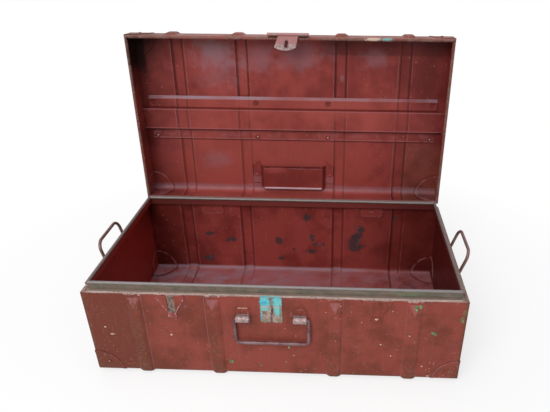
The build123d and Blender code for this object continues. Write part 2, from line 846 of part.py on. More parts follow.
leaf_clear = hinge_knuckle + knuckle_gap
for side, way in ends.items():
    x = way * hinge_offset
    start = x - hinge_width / 2
    bore = hinge_bore(x)

    with BuildPart() as base_leaf:
        with BuildSketch(wall_plane(base, "back", x, hinge_z)):
            with BuildLine():
                FilletPolyline(
                    (-hinge_width / 2, -leaf_clear),
                    (-hinge_width / 2, -hinge_leaf),
                    (hinge_width / 2, -hinge_leaf),
                    (hinge_width / 2, -leaf_clear),
                    radius=(0, hinge_leaf_corner, hinge_leaf_corner, 0),
                    close=True,
                )
            make_face()
            for curl_way in (-1, 1):
                curl_at = curl_way * (hinge_width - outer_knuckle) / 2
                with Locations((curl_at, -leaf_clear / 2)):
                    Rectangle(outer_knuckle, leaf_clear)
        extrude(amount=plate)
        add(knuckle(base, start, outer_knuckle, hinge_z))
        add(knuckle(base, start + hinge_width - outer_knuckle, outer_knuckle, hinge_z))
        add(bore, mode=Mode.SUBTRACT)
        add(rivet_holes(base_leaf_rivets), mode=Mode.SUBTRACT)
    save(base_leaf, f"hinge_base_leaf_{side}")

    with BuildPart() as lid_leaf:
        with BuildSketch(wall_plane(lid, "back", x, 0)):
            with BuildLine():
                FilletPolyline(
                    (-hinge_width / 2, leaf_clear),
                    (-hinge_width / 2, hinge_leaf),
                    (hinge_width / 2, hinge_leaf),
                    (hinge_width / 2, leaf_clear),
                    radius=(0, hinge_leaf_corner, hinge_leaf_corner, 0),
                    close=True,
                )
            make_face()
            with Locations((0, leaf_clear / 2)):
                Rectangle(hinge_middle, leaf_clear)
        extrude(amount=plate)
        add(knuckle(lid, x - hinge_middle / 2, hinge_middle, 0))
        heel = wall_plane(base, "back", x, hinge_z - heel_length / 2, plate + heel_gap)
        with BuildSketch(heel):
            Rectangle(hinge_middle, heel_length)
        extrude(amount=heel_sheet)
        add(bore, mode=Mode.SUBTRACT)
        add(rivet_holes(lid_leaf_rivets), mode=Mode.SUBTRACT)
    save(lid_leaf, f"hinge_lid_leaf_{side}")

    with BuildPart() as pin:
        with BuildSketch(section_plane(base, start)):
            with Locations((hinge_y, hinge_z)):
                Circle(hinge_pin)
        extrude(amount=hinge_width)
        for head_x in (start - pin_head_rise, start + hinge_width):
            with BuildSketch(section_plane(base, head_x)):
                with Locations((hinge_y, hinge_z)):
                    Circle(pin_head)
            extrude(amount=pin_head_rise)
    save(pin, f"hinge_pin_{side}")

    backing_z = hinge_z - hinge_leaf + backing_height / 2
    with BuildPart() as backing:
        with BuildSketch(wall_plane(base, "back", x, backing_z, -sheet)):
            RectangleRounded(hinge_width, backing_height, backing_corner)
        extrude(amount=-plate)
        add(rivet_holes(base_leaf_rivets), mode=Mode.SUBTRACT)
    save(backing, f"hinge_backing_{side}")

# ---- Lid: wrap, end panels, rim wire ----
lid_rivet_list = (
    flat(lid_corner_rivets)
    + lid_leaf_rivets
    + hasp_rivets
    + front_flange_rivets
    + back_flange_rivets
    + tab_rivets
    + pocket_rivets
)
lid_holes = rivet_holes(lid_rivet_list)
rim_bore = wire_ring(lid, bead_radius, bead_radius, bead_bore)
rim_bead = (bead_radius, 0)

with BuildPart() as lid_wrap:
    add(tub_block(lid_tub, 0, -half_width, half_width, bead_radius))
    add(
        tub_block(lid_tub, -sheet, -half_width - sheet, half_width + sheet, -lid_height),
        mode=Mode.SUBTRACT,
    )
    add(rib_bulges(lid_tub))
    add(rib_channels(lid_tub), mode=Mode.SUBTRACT)
    for side in ("front", "back"):
        add(edge_strip(lid, side, bead_radius, -sheet, [], rim_bead))
    add(rim_bore, mode=Mode.SUBTRACT)
    add(lid_holes, mode=Mode.SUBTRACT)
save(lid_wrap, "lid_wrap")

with BuildPart() as wrap_beads:
    for bead_way in (-1, 1):
        with BuildSketch(section_plane(lid, -half_width - sheet)):
            with Locations((bead_way * (half_depth - bead_radius), bead_radius)):
                Circle(bead_radius + lap_gap)
        extrude(amount=width + 2 * sheet)

for side in ends:
    with BuildPart() as lid_end:
        add(end_pan(lid_tub, side, bead_radius, 2 * bead_radius + lap_gap))
        add(wrap_beads.part, mode=Mode.SUBTRACT)
        add(edge_strip(lid, side, bead_radius, lap_face, [], rim_bead))
        add(rim_bore, mode=Mode.SUBTRACT)
        add(lid_holes, mode=Mode.SUBTRACT)
    save(lid_end, f"lid_end_{side}")

with BuildPart() as lid_rim_wire:
    add(wire_ring(lid, bead_radius, bead_radius, wire_radius))
save(lid_rim_wire, "lid_rim_wire")

# ---- Stiffener: a hat section across the lid, its face's ends bent along the end panels ----
ceiling = lid_height - sheet
face_half = half_width - sheet
flange_half = half_width - stiffener_end_gap
front_fold = stiffener_front - stiffener_flank
back_fold = stiffener_back + stiffener_flank
mid_ceiling = ceiling - stiffener_sheet / 2
mid_face = stiffener_level + stiffener_sheet / 2
upright = (Align.CENTER, Align.CENTER, Align.MIN)

with BuildPart() as lid_stiffener:
    with BuildSketch(section_plane(lid, -flange_half)):
        with BuildLine() as hat:
            Polyline(
                (front_fold - stiffener_front_flange - stiffener_bevel, mid_ceiling),
                (front_fold - stiffener_front_flange, mid_ceiling - stiffener_lift),
                (front_fold, mid_ceiling - stiffener_lift),
                (stiffener_front, mid_face),
                (stiffener_back, mid_face),
                (back_fold, mid_ceiling),
                (back_fold + stiffener_back_flange, mid_ceiling),
            )
        trace(hat.line, line_width=stiffener_sheet)
    extrude(amount=2 * flange_half)
    with BuildSketch(section_plane(lid, -face_half)):
        with BuildLine() as channel:
            Polyline(
                (stiffener_front, mid_face),
                (stiffener_back, mid_face),
            )
        trace(channel.line, line_width=stiffener_sheet)
    extrude(amount=2 * face_half)
    for way in ends.values():
        with BuildSketch(section_plane(lid, way * face_half)):
            with BuildLine():
                Polyline(
                    (stiffener_front, mid_face),
                    (stiffener_back, mid_face),
                    (stiffener_back, tab_low),
                    (stiffener_front + stiffener_tab_slope, tab_low),
                    close=True,
                )
            make_face()
        extrude(amount=-way * stiffener_sheet)
    for plane, _ in front_flange_rivets:
        with Locations(plane.offset(-stiffener_sheet).location):
            Cone(
                dimple_floor + dimple_skirt,
                dimple_mouth + dimple_skirt,
                stiffener_lift,
                align=upright,
            )
        with Locations(plane.location):
            Cone(
                dimple_floor,
                2 * dimple_mouth - dimple_floor,
                2 * stiffener_lift,
                align=upright,
                mode=Mode.SUBTRACT,
            )
    add(lid_holes, mode=Mode.SUBTRACT)
save(lid_stiffener, "lid_stiffener")

# ---- Pocket strap ----
pocket_back = pocket_front + pocket_depth
with BuildPart() as lid_pocket:
    pocket_start = Plane(
        lid.from_local_coords((0, pocket_front, 0)), x_dir=-lid.x_dir, z_dir=lid.y_dir
    )
    half_face = pocket_face / 2
    half_fold = half_face + pocket_flank
    half_flange = pocket_width / 2
    pocket_ceiling = ceiling - pocket_sheet / 2
    pocket_level = ceiling - pocket_rise + pocket_sheet / 2
    with BuildSketch(pocket_start):
        with BuildLine() as strap:
            Polyline(
                (-half_flange, pocket_ceiling),
                (-half_fold, pocket_ceiling),
                (-half_face, pocket_level),
                (half_face, pocket_level),
                (half_fold, pocket_ceiling),
                (half_flange, pocket_ceiling),
            )
        trace(strap.line, line_width=pocket_sheet)
    extrude(amount=pocket_depth)
    with BuildSketch(lid.offset(ceiling)):
        for way in (-1, 1):
            with BuildLine():
                Polyline(
                    (way * half_fold, pocket_front),
                    (way * half_fold, pocket_front - pocket_ear),
                    (way * half_flange, pocket_front - pocket_ear + pocket_ear_chamfer),
                    (way * half_flange, pocket_back),
                    (way * half_fold, pocket_back),
                    close=True,
                )
            make_face()
    extrude(amount=-pocket_sheet)
    with BuildSketch(section_plane(lid, -half_face)):
        with Locations((pocket_back, pocket_level)):
            Circle(pocket_lip)
    extrude(amount=pocket_face)
    add(lid_holes, mode=Mode.SUBTRACT)
save(lid_pocket, "lid_pocket")

# ---- Hasp ----
hasp_axis_y = -half_depth - hasp_pin_out
flap_half = hasp_flap_width / 2
hasp_flap_neck = hasp_knuckle + 2 * knuckle_gap
wing = hasp_leaf_width / 2 - flap_half - knuckle_gap


def hasp_curl(x, length):
    """Knuckle round the hasp's pin, solid until its bore is cut."""
    with BuildPart() as curl:
        with BuildSketch(section_plane(lid, x)):
            with Locations((hasp_axis_y, -hasp_pin_drop)):
                Circle(hasp_knuckle)
        extrude(amount=length)
    return curl.part


with BuildPart() as hasp_bore:
    with BuildSketch(section_plane(lid, -hasp_leaf_width)):
        with Locations((hasp_axis_y, -hasp_pin_drop)):
            Circle(hasp_pin + pin_gap)
    extrude(amount=2 * hasp_leaf_width)

with BuildPart() as hasp_leaf:
    with BuildSketch(wall_plane(lid, "front", 0, 0)):
        with BuildLine():
            FilletPolyline(
                (-hasp_leaf_width / 2, hasp_leaf_low),
                (-hasp_leaf_width / 2, hasp_leaf_low + hasp_leaf_height),
                (hasp_leaf_width / 2, hasp_leaf_low + hasp_leaf_height),
                (hasp_leaf_width / 2, hasp_leaf_low),
                radius=(0, hasp_leaf_corner, hasp_leaf_corner, 0),
                close=True,
            )
        make_face()
    extrude(amount=plate)
    for wing_start in (-hasp_leaf_width / 2, hasp_leaf_width / 2 - wing):
        with BuildSketch(section_plane(lid, wing_start)):
            with BuildLine():
                Polyline(
                    (-half_depth, hasp_leaf_low),
                    (-half_depth, hasp_leaf_clear),
                    (hasp_axis_y + hasp_knuckle, -hasp_pin_drop),
                    (hasp_axis_y - hasp_knuckle, -hasp_pin_drop),
                    (-half_depth - plate, hasp_leaf_low + plate),
                    close=True,
                )
            make_face()
        extrude(amount=wing)
        add(hasp_curl(wing_start, wing))
    add(hasp_bore.part, mode=Mode.SUBTRACT)
    add(rivet_holes(hasp_rivets), mode=Mode.SUBTRACT)
save(hasp_leaf, "hasp_leaf")

flap_plane = Plane(
    lid.from_local_coords((0, hasp_axis_y, -hasp_pin_drop)), x_dir=-lid.x_dir, z_dir=-lid.z_dir
)
with BuildPart() as hasp_flap:
    with BuildSketch(flap_plane.offset(-hasp_flap_sheet / 2)):
        with BuildLine():
            Polyline(
                (hasp_flap_lean + hasp_flap_foot / 2, hasp_flap_shoulder),
                (flap_half, hasp_flap_neck),
                (flap_half, 0),
                (-flap_half, 0),
                (-flap_half, hasp_flap_neck),
                (hasp_flap_lean - hasp_flap_foot / 2, hasp_flap_shoulder),
            )
            ThreePointArc(
                (hasp_flap_lean - hasp_flap_foot / 2, hasp_flap_shoulder),
                (hasp_flap_lean, hasp_flap_length),
                (hasp_flap_lean + hasp_flap_foot / 2, hasp_flap_shoulder),
            )
        make_face()
    extrude(amount=hasp_flap_sheet)
    with BuildSketch(flap_plane.offset(-hasp_flap_sheet)):
        slot_turn = -degrees(atan2(-lock_x, hasp_slot_drop))
        with Locations(Location((-lock_x, hasp_slot_drop), slot_turn)):
            RectangleRounded(hasp_slot_width, hasp_slot_height, hasp_slot_width / 3)
    extrude(amount=2 * hasp_flap_sheet, mode=Mode.SUBTRACT)
    add(hasp_curl(-flap_half, hasp_flap_width))
    add(hasp_bore.part, mode=Mode.SUBTRACT)
save(hasp_flap, "hasp_flap")

with BuildPart() as hasp_pin_piece:
    with BuildSketch(section_plane(lid, -hasp_leaf_width / 2)):
        with Locations((hasp_axis_y, -hasp_pin_drop)):
            Circle(hasp_pin)
    extrude(amount=hasp_leaf_width)
    for head_x in (-hasp_leaf_width / 2 - pin_head_rise, hasp_leaf_width / 2):
        with BuildSketch(section_plane(lid, head_x)):
            with Locations((hasp_axis_y, -hasp_pin_drop)):
                Circle(pin_head)
        extrude(amount=pin_head_rise)
save(hasp_pin_piece, "hasp_pin")

# ---- Rivets, one group for the base and one for the lid ----
for name, spots in (("base_rivets", base_rivet_list), ("lid_rivets", lid_rivet_list)):
    pieces = {grip: rivet(grip) for _, grip in spots}
    with BuildPart() as group:
        for plane, grip in spots:
            with Locations(plane.location):
                add(pieces[grip])
    save(group, name)
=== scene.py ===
"""An old pressed tin trunk, standing open: red enamel over rust and bare metal, and its stage."""

import json
import math

import bpy
from bpy.props import FloatProperty, FloatVectorProperty, PointerProperty
from mathutils import Matrix, Vector

bl_info = {
    "name": "Tin trunk",
    "version": (1, 0, 0),
    "blender": (4, 5, 0),
    "location": "View3D > Sidebar > Trunk",
    "description": "Enamel, rust and worn metal for an old pressed tin trunk, and its stage",
    "category": "Object",
}

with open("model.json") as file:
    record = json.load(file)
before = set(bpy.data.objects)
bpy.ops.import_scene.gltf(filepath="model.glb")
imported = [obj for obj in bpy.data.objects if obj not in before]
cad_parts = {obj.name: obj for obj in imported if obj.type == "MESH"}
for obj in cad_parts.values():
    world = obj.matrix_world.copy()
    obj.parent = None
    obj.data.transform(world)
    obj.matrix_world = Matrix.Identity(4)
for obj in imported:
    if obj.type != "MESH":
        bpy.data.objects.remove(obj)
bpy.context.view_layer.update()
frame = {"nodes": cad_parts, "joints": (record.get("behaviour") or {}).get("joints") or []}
joints = {joint["name"]: joint for joint in frame["joints"]}

# The camera, in metres and radians, and the picture that it fills, in pixels
camera_place = (0.09920, -0.81281, 0.65655)
camera_yaw, camera_pitch, camera_roll = -0.0333, 0.5103, 0.0066
picture_wide, picture_high = 550, 412
focal_pixels = 529.96
middle_pixel = (323.85, 227.08)
sensor_width = 36.0

# Where patterns lie, in millimetres: x across, y to the back, z up from the floor, with the lid shut
mm = 1000.0
half_width = 300.0
half_depth = 160.0
rib_middles = (95.5, 219.0)
rib_flank = 10.2  # from a rib's middle to its flanks
underside = 3.5
shoulder = 165.5  # the ledge outside the collar
lid_top = 216.0
wall_middle = 85.0
plate_reach = 43.0  # from a corner to the edge of its round plate
lock_x = -3.6
lock_face = -162.0  # the lock plate's face
catch_x = -160.0  # the left catch plate's middle
backing_middle = 164.5  # from the middle to the hinges' backing plates
stiffener_rivet = 71.5  # from the middle to the stiffener's inner rivets
stiffener_edge = 45.0  # the edge of its rear flange
pocket_lip = 147.0
front_pivot = 126.0  # heights of the handles' tubes
side_pivot = 133.5
through = 60.0  # a patch's reach through the sheet, on which nothing depends
hinge = joints["lid_hinge"]
hinge_place = Vector(hinge["pos_m"]) * mm
lid_turn = math.radians(hinge["range_deg"][1])


def paint(code):
    """A colour written as six hexadecimal digits, as the linear colour that a shader takes."""
    channels = [int(code[at : at + 2], 16) / 255 for at in (0, 2, 4)]
    return tuple(c / 12.92 if c <= 0.04045 else ((c + 0.055) / 1.055) ** 2.4 for c in channels)


# ---------------------------------------------------------------- sizes and colours that a user may change


def colour_setting(name, description, code):
    """A colour, its default given as six hexadecimal digits."""
    linear = paint(code)
    return FloatVectorProperty(
        name=name, description=description, default=linear, subtype="COLOR", size=3, min=0.0, max=1.0
    )


def size_setting(name, description, value, low, high):
    """A length in millimetres of a pattern."""
    return FloatProperty(name=name, description=description, default=value, min=low, max=high)


def share_setting(name, description, value):
    """A share from none to all."""
    return FloatProperty(
        name=name, description=description, default=value, min=0.0, max=1.0, subtype="FACTOR"
    )


class TrunkEnamel(bpy.types.PropertyGroup):
    """The red enamel and what shows where it has gone."""

    outside: colour_setting("Outside", "Enamel on the outside", "863e34")
    # Duller, browner enamel, laid in clouds and towards the left end of the outside
    outside_dull: colour_setting("Outside, dull", "Faded and browner enamel on the outside", "6a3226")
    inside: colour_setting("Inside", "Enamel inside the trunk", "8d3b36")
    inside_dull: colour_setting("Inside, dull", "Darker cloudy enamel inside", "742c28")
    inside_light: colour_setting("Inside, light", "Lighter enamel of the lid's rear half", "9c4841")
    # Painted light: laid on the left end's inside, facing +x, so that it is lighter and redder than the
    # right end's, which gets painted shade
    lit_ruddy: colour_setting("Inside, ruddy", "Redder enamel on the left end's inside", "9e2d26")
    # Painted shade: laid in the inside's corners and towards its ends, in the ribs' flanks, along folds
    # and under edges, besides some grime
    shade: colour_setting("Inside, grimy", "Grime in the inside's corners and along its ribs", "4a1512")
    # Painted highlight: this bright colour is laid on the pocket's rolled lip where it faces up
    lip: colour_setting("Lip", "Bright rubbed lip of the lid's strap", "c3a4ae")
    # Painted shadow: black, laid in the lid's far left corner where its walls shade the ceiling
    corner_shadow: colour_setting("Soot", "Black grime in the lid's corner", "1a0a08")
    # Painted light: this lilac is laid as painted sheen, reflection and highlight on the ceiling, the
    # floor, the curves and the stiffener, and as a real tint in the bare patches
    lilac: colour_setting("Lilac sheen", "Cool bloom on the lid's ceiling and the stiffener", "86707b")
    dust: colour_setting("Dusty floor", "Pinkish dust on the trunk's floor", "95585b")
    bloom_and_highlight: colour_setting("Bloom", "Pale dusty bloom on the enamel", "966063")
    # Pale dusty colour, laid as real wear and as painted highlights along ribs, folds, edges and plates
    rust: colour_setting("Rust", "Brown rust that speckles the ribs and edges", "644033")
    olive: colour_setting("Olive", "Older olive coat that shows in the wear", "6f5a42")
    chip: colour_setting("Chip", "Pale edge of a paint chip", "c9b3a0")
    bare: colour_setting("Bare sheet", "Dark bare sheet inside", "423235")
    green: colour_setting("Green", "Green paint dropped on the outside", "47784a")
    green_pale: colour_setting("Green, pale", "Pale crust on the green paint", "9fae8c")
    grain: size_setting("Grain", "Size of the enamel's cloudy grain in mm", 46.0, 5.0, 200.0)
    wear: share_setting("Wear", "How much rust and chipping shows", 0.5)
    dents: size_setting("Dents", "Depth of the sheet's soft dents in mm", 0.9, 0.0, 3.0)
    gloss: share_setting("Roughness", "Roughness of sound enamel", 0.42)
    glint: share_setting("Glint", "Strength of the enamel's own reflection", 0.15)


class TrunkMetal(bpy.types.PropertyGroup):
    """The metal that carries no red enamel."""

    collar: colour_setting("Collar", "Bare collar of the base", "76675a")
    collar_green: colour_setting("Collar, green", "Greenish grime on the collar", "615e52")
    collar_pale: colour_setting("Collar, pale", "Worn bead of the collar", "767072")
    ledge: colour_setting("Ledge", "Pale worn ledge outside the collar", "c2ada6")
    ledge_dull: colour_setting("Ledge, dull", "Dull parts of the ledge", "8a776c")
    turquoise: colour_setting("Turquoise", "Paint on the lock plate", "4fb7c0")
    turquoise_thin: colour_setting("Turquoise, thin", "Thin paint lower on the lock plate", "6fb0ab")
    turquoise_deep: colour_setting("Turquoise, deep", "Thicker paint on the lock plate", "2f96b4")
    tan: colour_setting("Tan", "Worn face of the lock plate", "8f8069")
    moss: colour_setting("Moss", "Green edge of the lock plate's paint", "667f58")
    rim: colour_setting("Rim", "Dull brown wear of the lid's rim and the collar's sides", "70534a")
    steel: colour_setting("Steel", "Bright worn steel of the lugs and the hasp", "a89190")
    steel_dull: colour_setting("Steel, dull", "Dull steel of the lugs and the hasp", "86706d")
    stain: colour_setting("Stain", "Dark stain round the staple", "4a2a30")
    hasp_red: colour_setting("Hasp, red", "Thin red paint left on the hasp", "9c6260")
    wire: colour_setting("Handle wire", "Dark coat of the handles' wire", "5a3033")
    wire_worn: colour_setting("Handle wire, worn", "Worn wire of the handles", "75595c")


class TrunkStage(bpy.types.PropertyGroup):
    """The floor, the light and the air around the trunk."""

    floor: colour_setting("Floor", "Colour of the floor", "f4f4f4")
    sky: FloatProperty(
        name="Sky", description="Strength of the even light", default=0.42, min=0.0, max=3.0
    )
    key_power: FloatProperty(
        name="Key light", description="Power of the lamp in front", default=40.0, min=0.0, unit="POWER"
    )
    key_size: FloatProperty(
        name="Key width", description="Width of the lamp in front", default=1.3, min=0.1, unit="LENGTH"
    )
    top_power: FloatProperty(
        name="Top light", description="Power of the lamp overhead", default=9.0, min=0.0, unit="POWER"
    )
    shadow: share_setting("Shadow", "How much of its shadow the floor shows", 0.3)


class TrunkSettings(bpy.types.PropertyGroup):
    """Everything that the trunk's operators read."""

    enamel: PointerProperty(type=TrunkEnamel)
    metal: PointerProperty(type=TrunkMetal)
    stage: PointerProperty(type=TrunkStage)


# ---------------------------------------------------------------- shader maths


class Value:
    """A number that varies over a surface. An expression on it adds the Math nodes that work it out."""

    def __init__(self, finish, socket):
        self.finish, self.socket = finish, socket

    def maths(self, operation, *terms):
        made = self.finish.node("ShaderNodeMath", {"operation": operation}, dict(enumerate(terms)))
        return Value(self.finish, made.outputs[0])

    def __add__(self, other):
        return self.maths("ADD", self, other)

    def __radd__(self, other):
        return self.maths("ADD", other, self)

    def __sub__(self, other):
        return self.maths("SUBTRACT", self, other)

    def __rsub__(self, other):
        return self.maths("SUBTRACT", other, self)

    def __mul__(self, other):
        return self.maths("MULTIPLY", self, other)

    def __rmul__(self, other):
        return self.maths("MULTIPLY", other, self)

    def __abs__(self):
        return self.maths("ABSOLUTE", self)

    def most(self, other):
        return self.maths("MAXIMUM", self, other)

    def from_to(self, start, end):
        """0 at start, 1 at end, eased between them."""
        made = self.finish.node(
            "ShaderNodeMapRange",
            {"interpolation_type": "SMOOTHSTEP"},
            {"Value": self, "From Min": start, "From Max": end},
        )
        return Value(self.finish, made.outputs[0])

    def near(self, middle, half, soft):
        """1 within half of the middle, fading to 0 over soft."""
        return abs(self - middle).from_to(half + soft, half)


class Finish:
    """A material in the making: layers of colour, roughness, metal and height, laid over each other.

    A place on the piece is read in millimetres with the lid shut, so that a pattern runs on from the
    base to the lid.
    """

    def __init__(self, name, on_lid=False, colour=(0.8, 0.8, 0.8), rough=0.5, metal=0.0, glint=0.5):
        self.material = bpy.data.materials.new(name)
        self.material.use_nodes = True
        self.tree = self.material.node_tree
        self.shader = next(n for n in self.tree.nodes if n.type == "BSDF_PRINCIPLED")
        self.shader.inputs["Specular IOR Level"].default_value = glint
        self.on_lid = on_lid
        self.colour, self.rough, self.metal, self.height = colour, rough, metal, None
        where = self.node("ShaderNodeTexCoord")
        turn = Matrix.Rotation(lid_turn if on_lid else 0.0, 3, "X")
        shift = hinge_place - turn @ hinge_place
        turned = {"Rotation": turn.to_euler()}
        self.place = self.node(
            "ShaderNodeMapping",
            {"vector_type": "POINT"},
            {"Vector": where.outputs["Object"], "Scale": (mm, mm, mm), "Location": shift, **turned},
        ).outputs[0]
        self.facing = self.node(
            "ShaderNodeMapping", {"vector_type": "VECTOR"}, {"Vector": where.outputs["Normal"], **turned}
        ).outputs[0]
        self.x, self.y, self.z = self.split(self.place)
        self.face_x, self.face_y, self.face_z = self.split(self.facing)

    def node(self, kind, settings=None, inputs=None):
        """Adds a node of any kind: its settings first, then the values or links of its sockets."""
        made = self.tree.nodes.new(kind)
        for name, setting in (settings or {}).items():
            setattr(made, name, setting)
        for key, value in (inputs or {}).items():
            source = getattr(value, "socket", value)
            if isinstance(source, bpy.types.NodeSocket):
                self.tree.links.new(source, made.inputs[key])
            else:
                made.inputs[key].default_value = source
        return made

    def split(self, vector):
        made = self.node("ShaderNodeSeparateXYZ", None, {0: vector})
        return [Value(self, socket) for socket in made.outputs]

    def moved(self, scale, shift=(0.0, 0.0, 0.0)):
        """The place times a scale plus a shift, for a pattern to read."""
        inputs = {0: self.place, 1: scale, 2: shift}
        return self.node("ShaderNodeVectorMath", {"operation": "MULTIPLY_ADD"}, inputs).outputs[0]

    def noise(self, size, detail=2.0, rough=0.55, stretch=(1.0, 1.0, 1.0), seed=0.0):
        """Cloudy noise about 0.5, its clouds about size millimetres, longer along a stretch above 1."""
        scale = [1.0 / (size * s) for s in stretch]
        vector = self.moved(scale, (seed, 1.7 * seed, -seed))
        inputs = {"Vector": vector, "Scale": 1.0, "Detail": detail, "Roughness": rough}
        return Value(self, self.node("ShaderNodeTexNoise", None, inputs).outputs[0])

    def dots(self, spacing, radius, share, seed=0.0, stretch=(1.0, 1.0, 1.0)):
        """Scattered dots of a radius: a share of the cells, spacing millimetres apart, holds one."""
        vector = self.moved([1.0 / (spacing * s) for s in stretch], (seed, seed, seed))
        cells = self.node("ShaderNodeTexVoronoi", None, {"Vector": vector, "Scale": 1.0})
        pick, size, _ = self.split(cells.outputs["Color"])
        reach = Value(self, cells.outputs["Distance"]) - size * (0.5 * radius / spacing)
        inside = reach.from_to(radius / spacing, 0.5 * radius / spacing)
        return inside * pick.from_to(share + 0.01, share)

    def reached(self, x, y, z, reach_x, reach_y, reach_z):
        """Distance from a point, 1 at the reach along each axis."""
        scale = (1.0 / reach_x, 1.0 / reach_y, 1.0 / reach_z)
        shifted = self.moved(scale, (-x / reach_x, -y / reach_y, -z / reach_z))
        made = self.node("ShaderNodeVectorMath", {"operation": "LENGTH"}, {0: shifted})
        return Value(self, made.outputs["Value"])

    def spot(self, x, y, z, reach_x, reach_y, reach_z, ragged=0.35, torn=0.0):
        """1 inside a patch about a point, with a ragged and maybe torn outline."""
        away = self.reached(x, y, z, reach_x, reach_y, reach_z) + (self.crumble - 0.5) * (4.0 * ragged)
        if torn:
            away = away + (self.cloud - 0.5) * torn
        return away.from_to(1.15, 0.75)

    def haze(self, x, y, z, reach_x, reach_y, reach_z):
        """1 at the middle of a soft patch that fades out past its reach along each axis."""
        away = self.reached(x, y, z, reach_x, reach_y, reach_z)
        return (away + (self.cloud - 0.5) * 1.6).from_to(1.3, 0.2)

    @property
    def cloud(self):
        """The middling noise that breaks up soft patches, made once."""
        if not hasattr(self, "middling"):
            self.middling = self.noise(19.0, detail=3.0, rough=0.6, seed=31.0)
        return self.middling

    @property
    def crumble(self):
        """The fine noise that makes the outline of chips and patches uneven, made once."""
        if not hasattr(self, "fine"):
            self.fine = self.noise(3.2, detail=3.0, rough=0.65, seed=4.3)
        return self.fine

    @property
    def outside(self):
        """1 on the side of the sheet that faces away from the trunk's middle."""
        if not hasattr(self, "out"):
            middle = self.moved((1.0, 1.0, 1.0), (0.0, 0.0, -wall_middle))
            inputs = {0: middle, 1: self.facing}
            made = self.node("ShaderNodeVectorMath", {"operation": "DOT_PRODUCT"}, inputs)
            self.out = Value(self, made.outputs["Value"]).from_to(-4.0, 4.0)
        return self.out

    @property
    def rib(self):
        """Distance from the middle of the nearest rib, in millimetres."""
        if not hasattr(self, "rib_distance"):
            inner, outer = rib_middles
            self.rib_distance = abs(abs(abs(self.x) - (inner + outer) / 2) - (outer - inner) / 2)
        return self.rib_distance

    @property
    def from_corner(self):
        """Distance from the nearest corner of the trunk's closed sides, in millimetres."""
        if not hasattr(self, "corner_distance"):
            corner = (half_width, half_depth, lid_top if self.on_lid else underside)
            away = [abs(abs(place) - end) for place, end in zip((self.x, self.y, self.z), corner)]
            square = away[0] * away[0] + away[1] * away[1] + away[2] * away[2]
            self.corner_distance = square.maths("SQRT", square)
        return self.corner_distance

    def mix(self, mask, under, over):
        """The colour over where the mask is 1, and the colour under elsewhere."""
        whole = [c if hasattr(c, "name") else (*c, 1.0) for c in (under, over)]
        made = self.node("ShaderNodeMix", {"data_type": "RGBA"}, {0: mask, 6: whole[0], 7: whole[1]})
        return made.outputs[2]

    def lay(self, mask, colour=None, rough=None, metal=None, rise=None):
        """Lays a coat where the mask is 1. The rise is its thickness in millimetres."""
        if colour is not None:
            self.colour = self.mix(mask, self.colour, colour)
        if rough is not None:
            self.rough = mask * (rough - self.rough) + self.rough
        if metal is not None:
            self.metal = mask * (metal - self.metal) + self.metal
        if rise is not None:
            self.raise_by(mask * rise)

    def raise_by(self, height):
        self.height = height if self.height is None else self.height + height

    def done(self, *nodes):
        """Joins the layers to the shader and gives the finish to the named parts."""
        levels = {"Roughness": self.rough, "Metallic": self.metal, "Base Color": self.colour}
        for key, level in levels.items():
            source = getattr(level, "socket", level)
            if isinstance(source, bpy.types.NodeSocket):
                self.tree.links.new(source, self.shader.inputs[key])
            else:
                self.shader.inputs[key].default_value = (*source, 1.0) if key == "Base Color" else source
        if self.height is not None:
            inputs = {"Height": self.height, "Distance": 1.0 / mm, "Strength": 1.0}
            bump = self.node("ShaderNodeBump", None, inputs)
            self.tree.links.new(bump.outputs[0], self.shader.inputs["Normal"])
        for name in nodes:
            for slot in frame["nodes"][name].material_slots:
                slot.material = self.material


# ---------------------------------------------------------------- finishes

# Marks on the front wall: middle x and z, then reach across and up, in millimetres
pale_chips = (
    (-264.6, 83.4, 4.2, 1.6),
    (-273.9, 97.6, 2.0, 1.6),
    (-167.9, 85.7, 1.8, 2.2),
    (187.2, 53.5, 1.5, 1.5),
    (169.7, 77.5, 1.6, 1.6),
    (213.5, 99.5, 2.0, 1.4),
    (239.5, 33.2, 1.5, 2.0),
    (250.5, 11.8, 2.2, 1.6),
    (172.0, 163.0, 9.0, 1.8),
    (29.5, 48.5, 1.8, 1.3),
)
green_chips = (
    (-74.6, 31.2, 4.6, 4.2),
    (-25.1, 24.8, 1.8, 3.0),
    (22.3, 65.7, 2.2, 3.2),
    (220.9, 152.2, 3.2, 6.5),
    (226.9, 154.7, 3.2, 4.2),
    (250.3, 103.8, 4.4, 3.0),
    (254.3, 101.0, 3.2, 3.0),
    (293.2, 131.0, 4.0, 7.0),
    (295.0, 146.0, 3.0, 6.0),
)
dark_chips = (
    (-71.6, 37.8, 3.2, 2.8),
    (224.4, 138.5, 2.6, 4.6),
    (163.7, 161.2, 3.4, 1.8),
    (-219.6, 146.8, 2.6, 4.6),
    (-218.4, 137.0, 1.8, 4.0),
    (223.6, 150.8, 2.0, 4.4),
)
# Bare patches inside the back wall, in the same order
bare_patches = (
    (141.0, 109.0, 8.5, 7.0),
    (140.0, 88.0, 10.5, 20.0),
    (133.5, 70.0, 11.5, 16.0),
    (33.5, 135.0, 8.0, 6.0),
    (29.0, 131.5, 4.5, 5.0),
    (41.7, 86.5, 5.5, 8.0),
    (54.9, 68.5, 12.5, 5.0),
    (42.9, 52.4, 9.5, 4.6),
    (-177.6, 90.6, 9.5, 4.4),
    (-130.0, 76.3, 8.5, 5.0),
    (-181.1, 30.1, 10.0, 7.0),
    (-29.0, 76.8, 6.5, 5.5),
    (214.5, 133.2, 3.2, 5.5),
    (-24.1, 32.0, 5.0, 4.0),
    (3.0, 55.0, 3.5, 4.0),
)
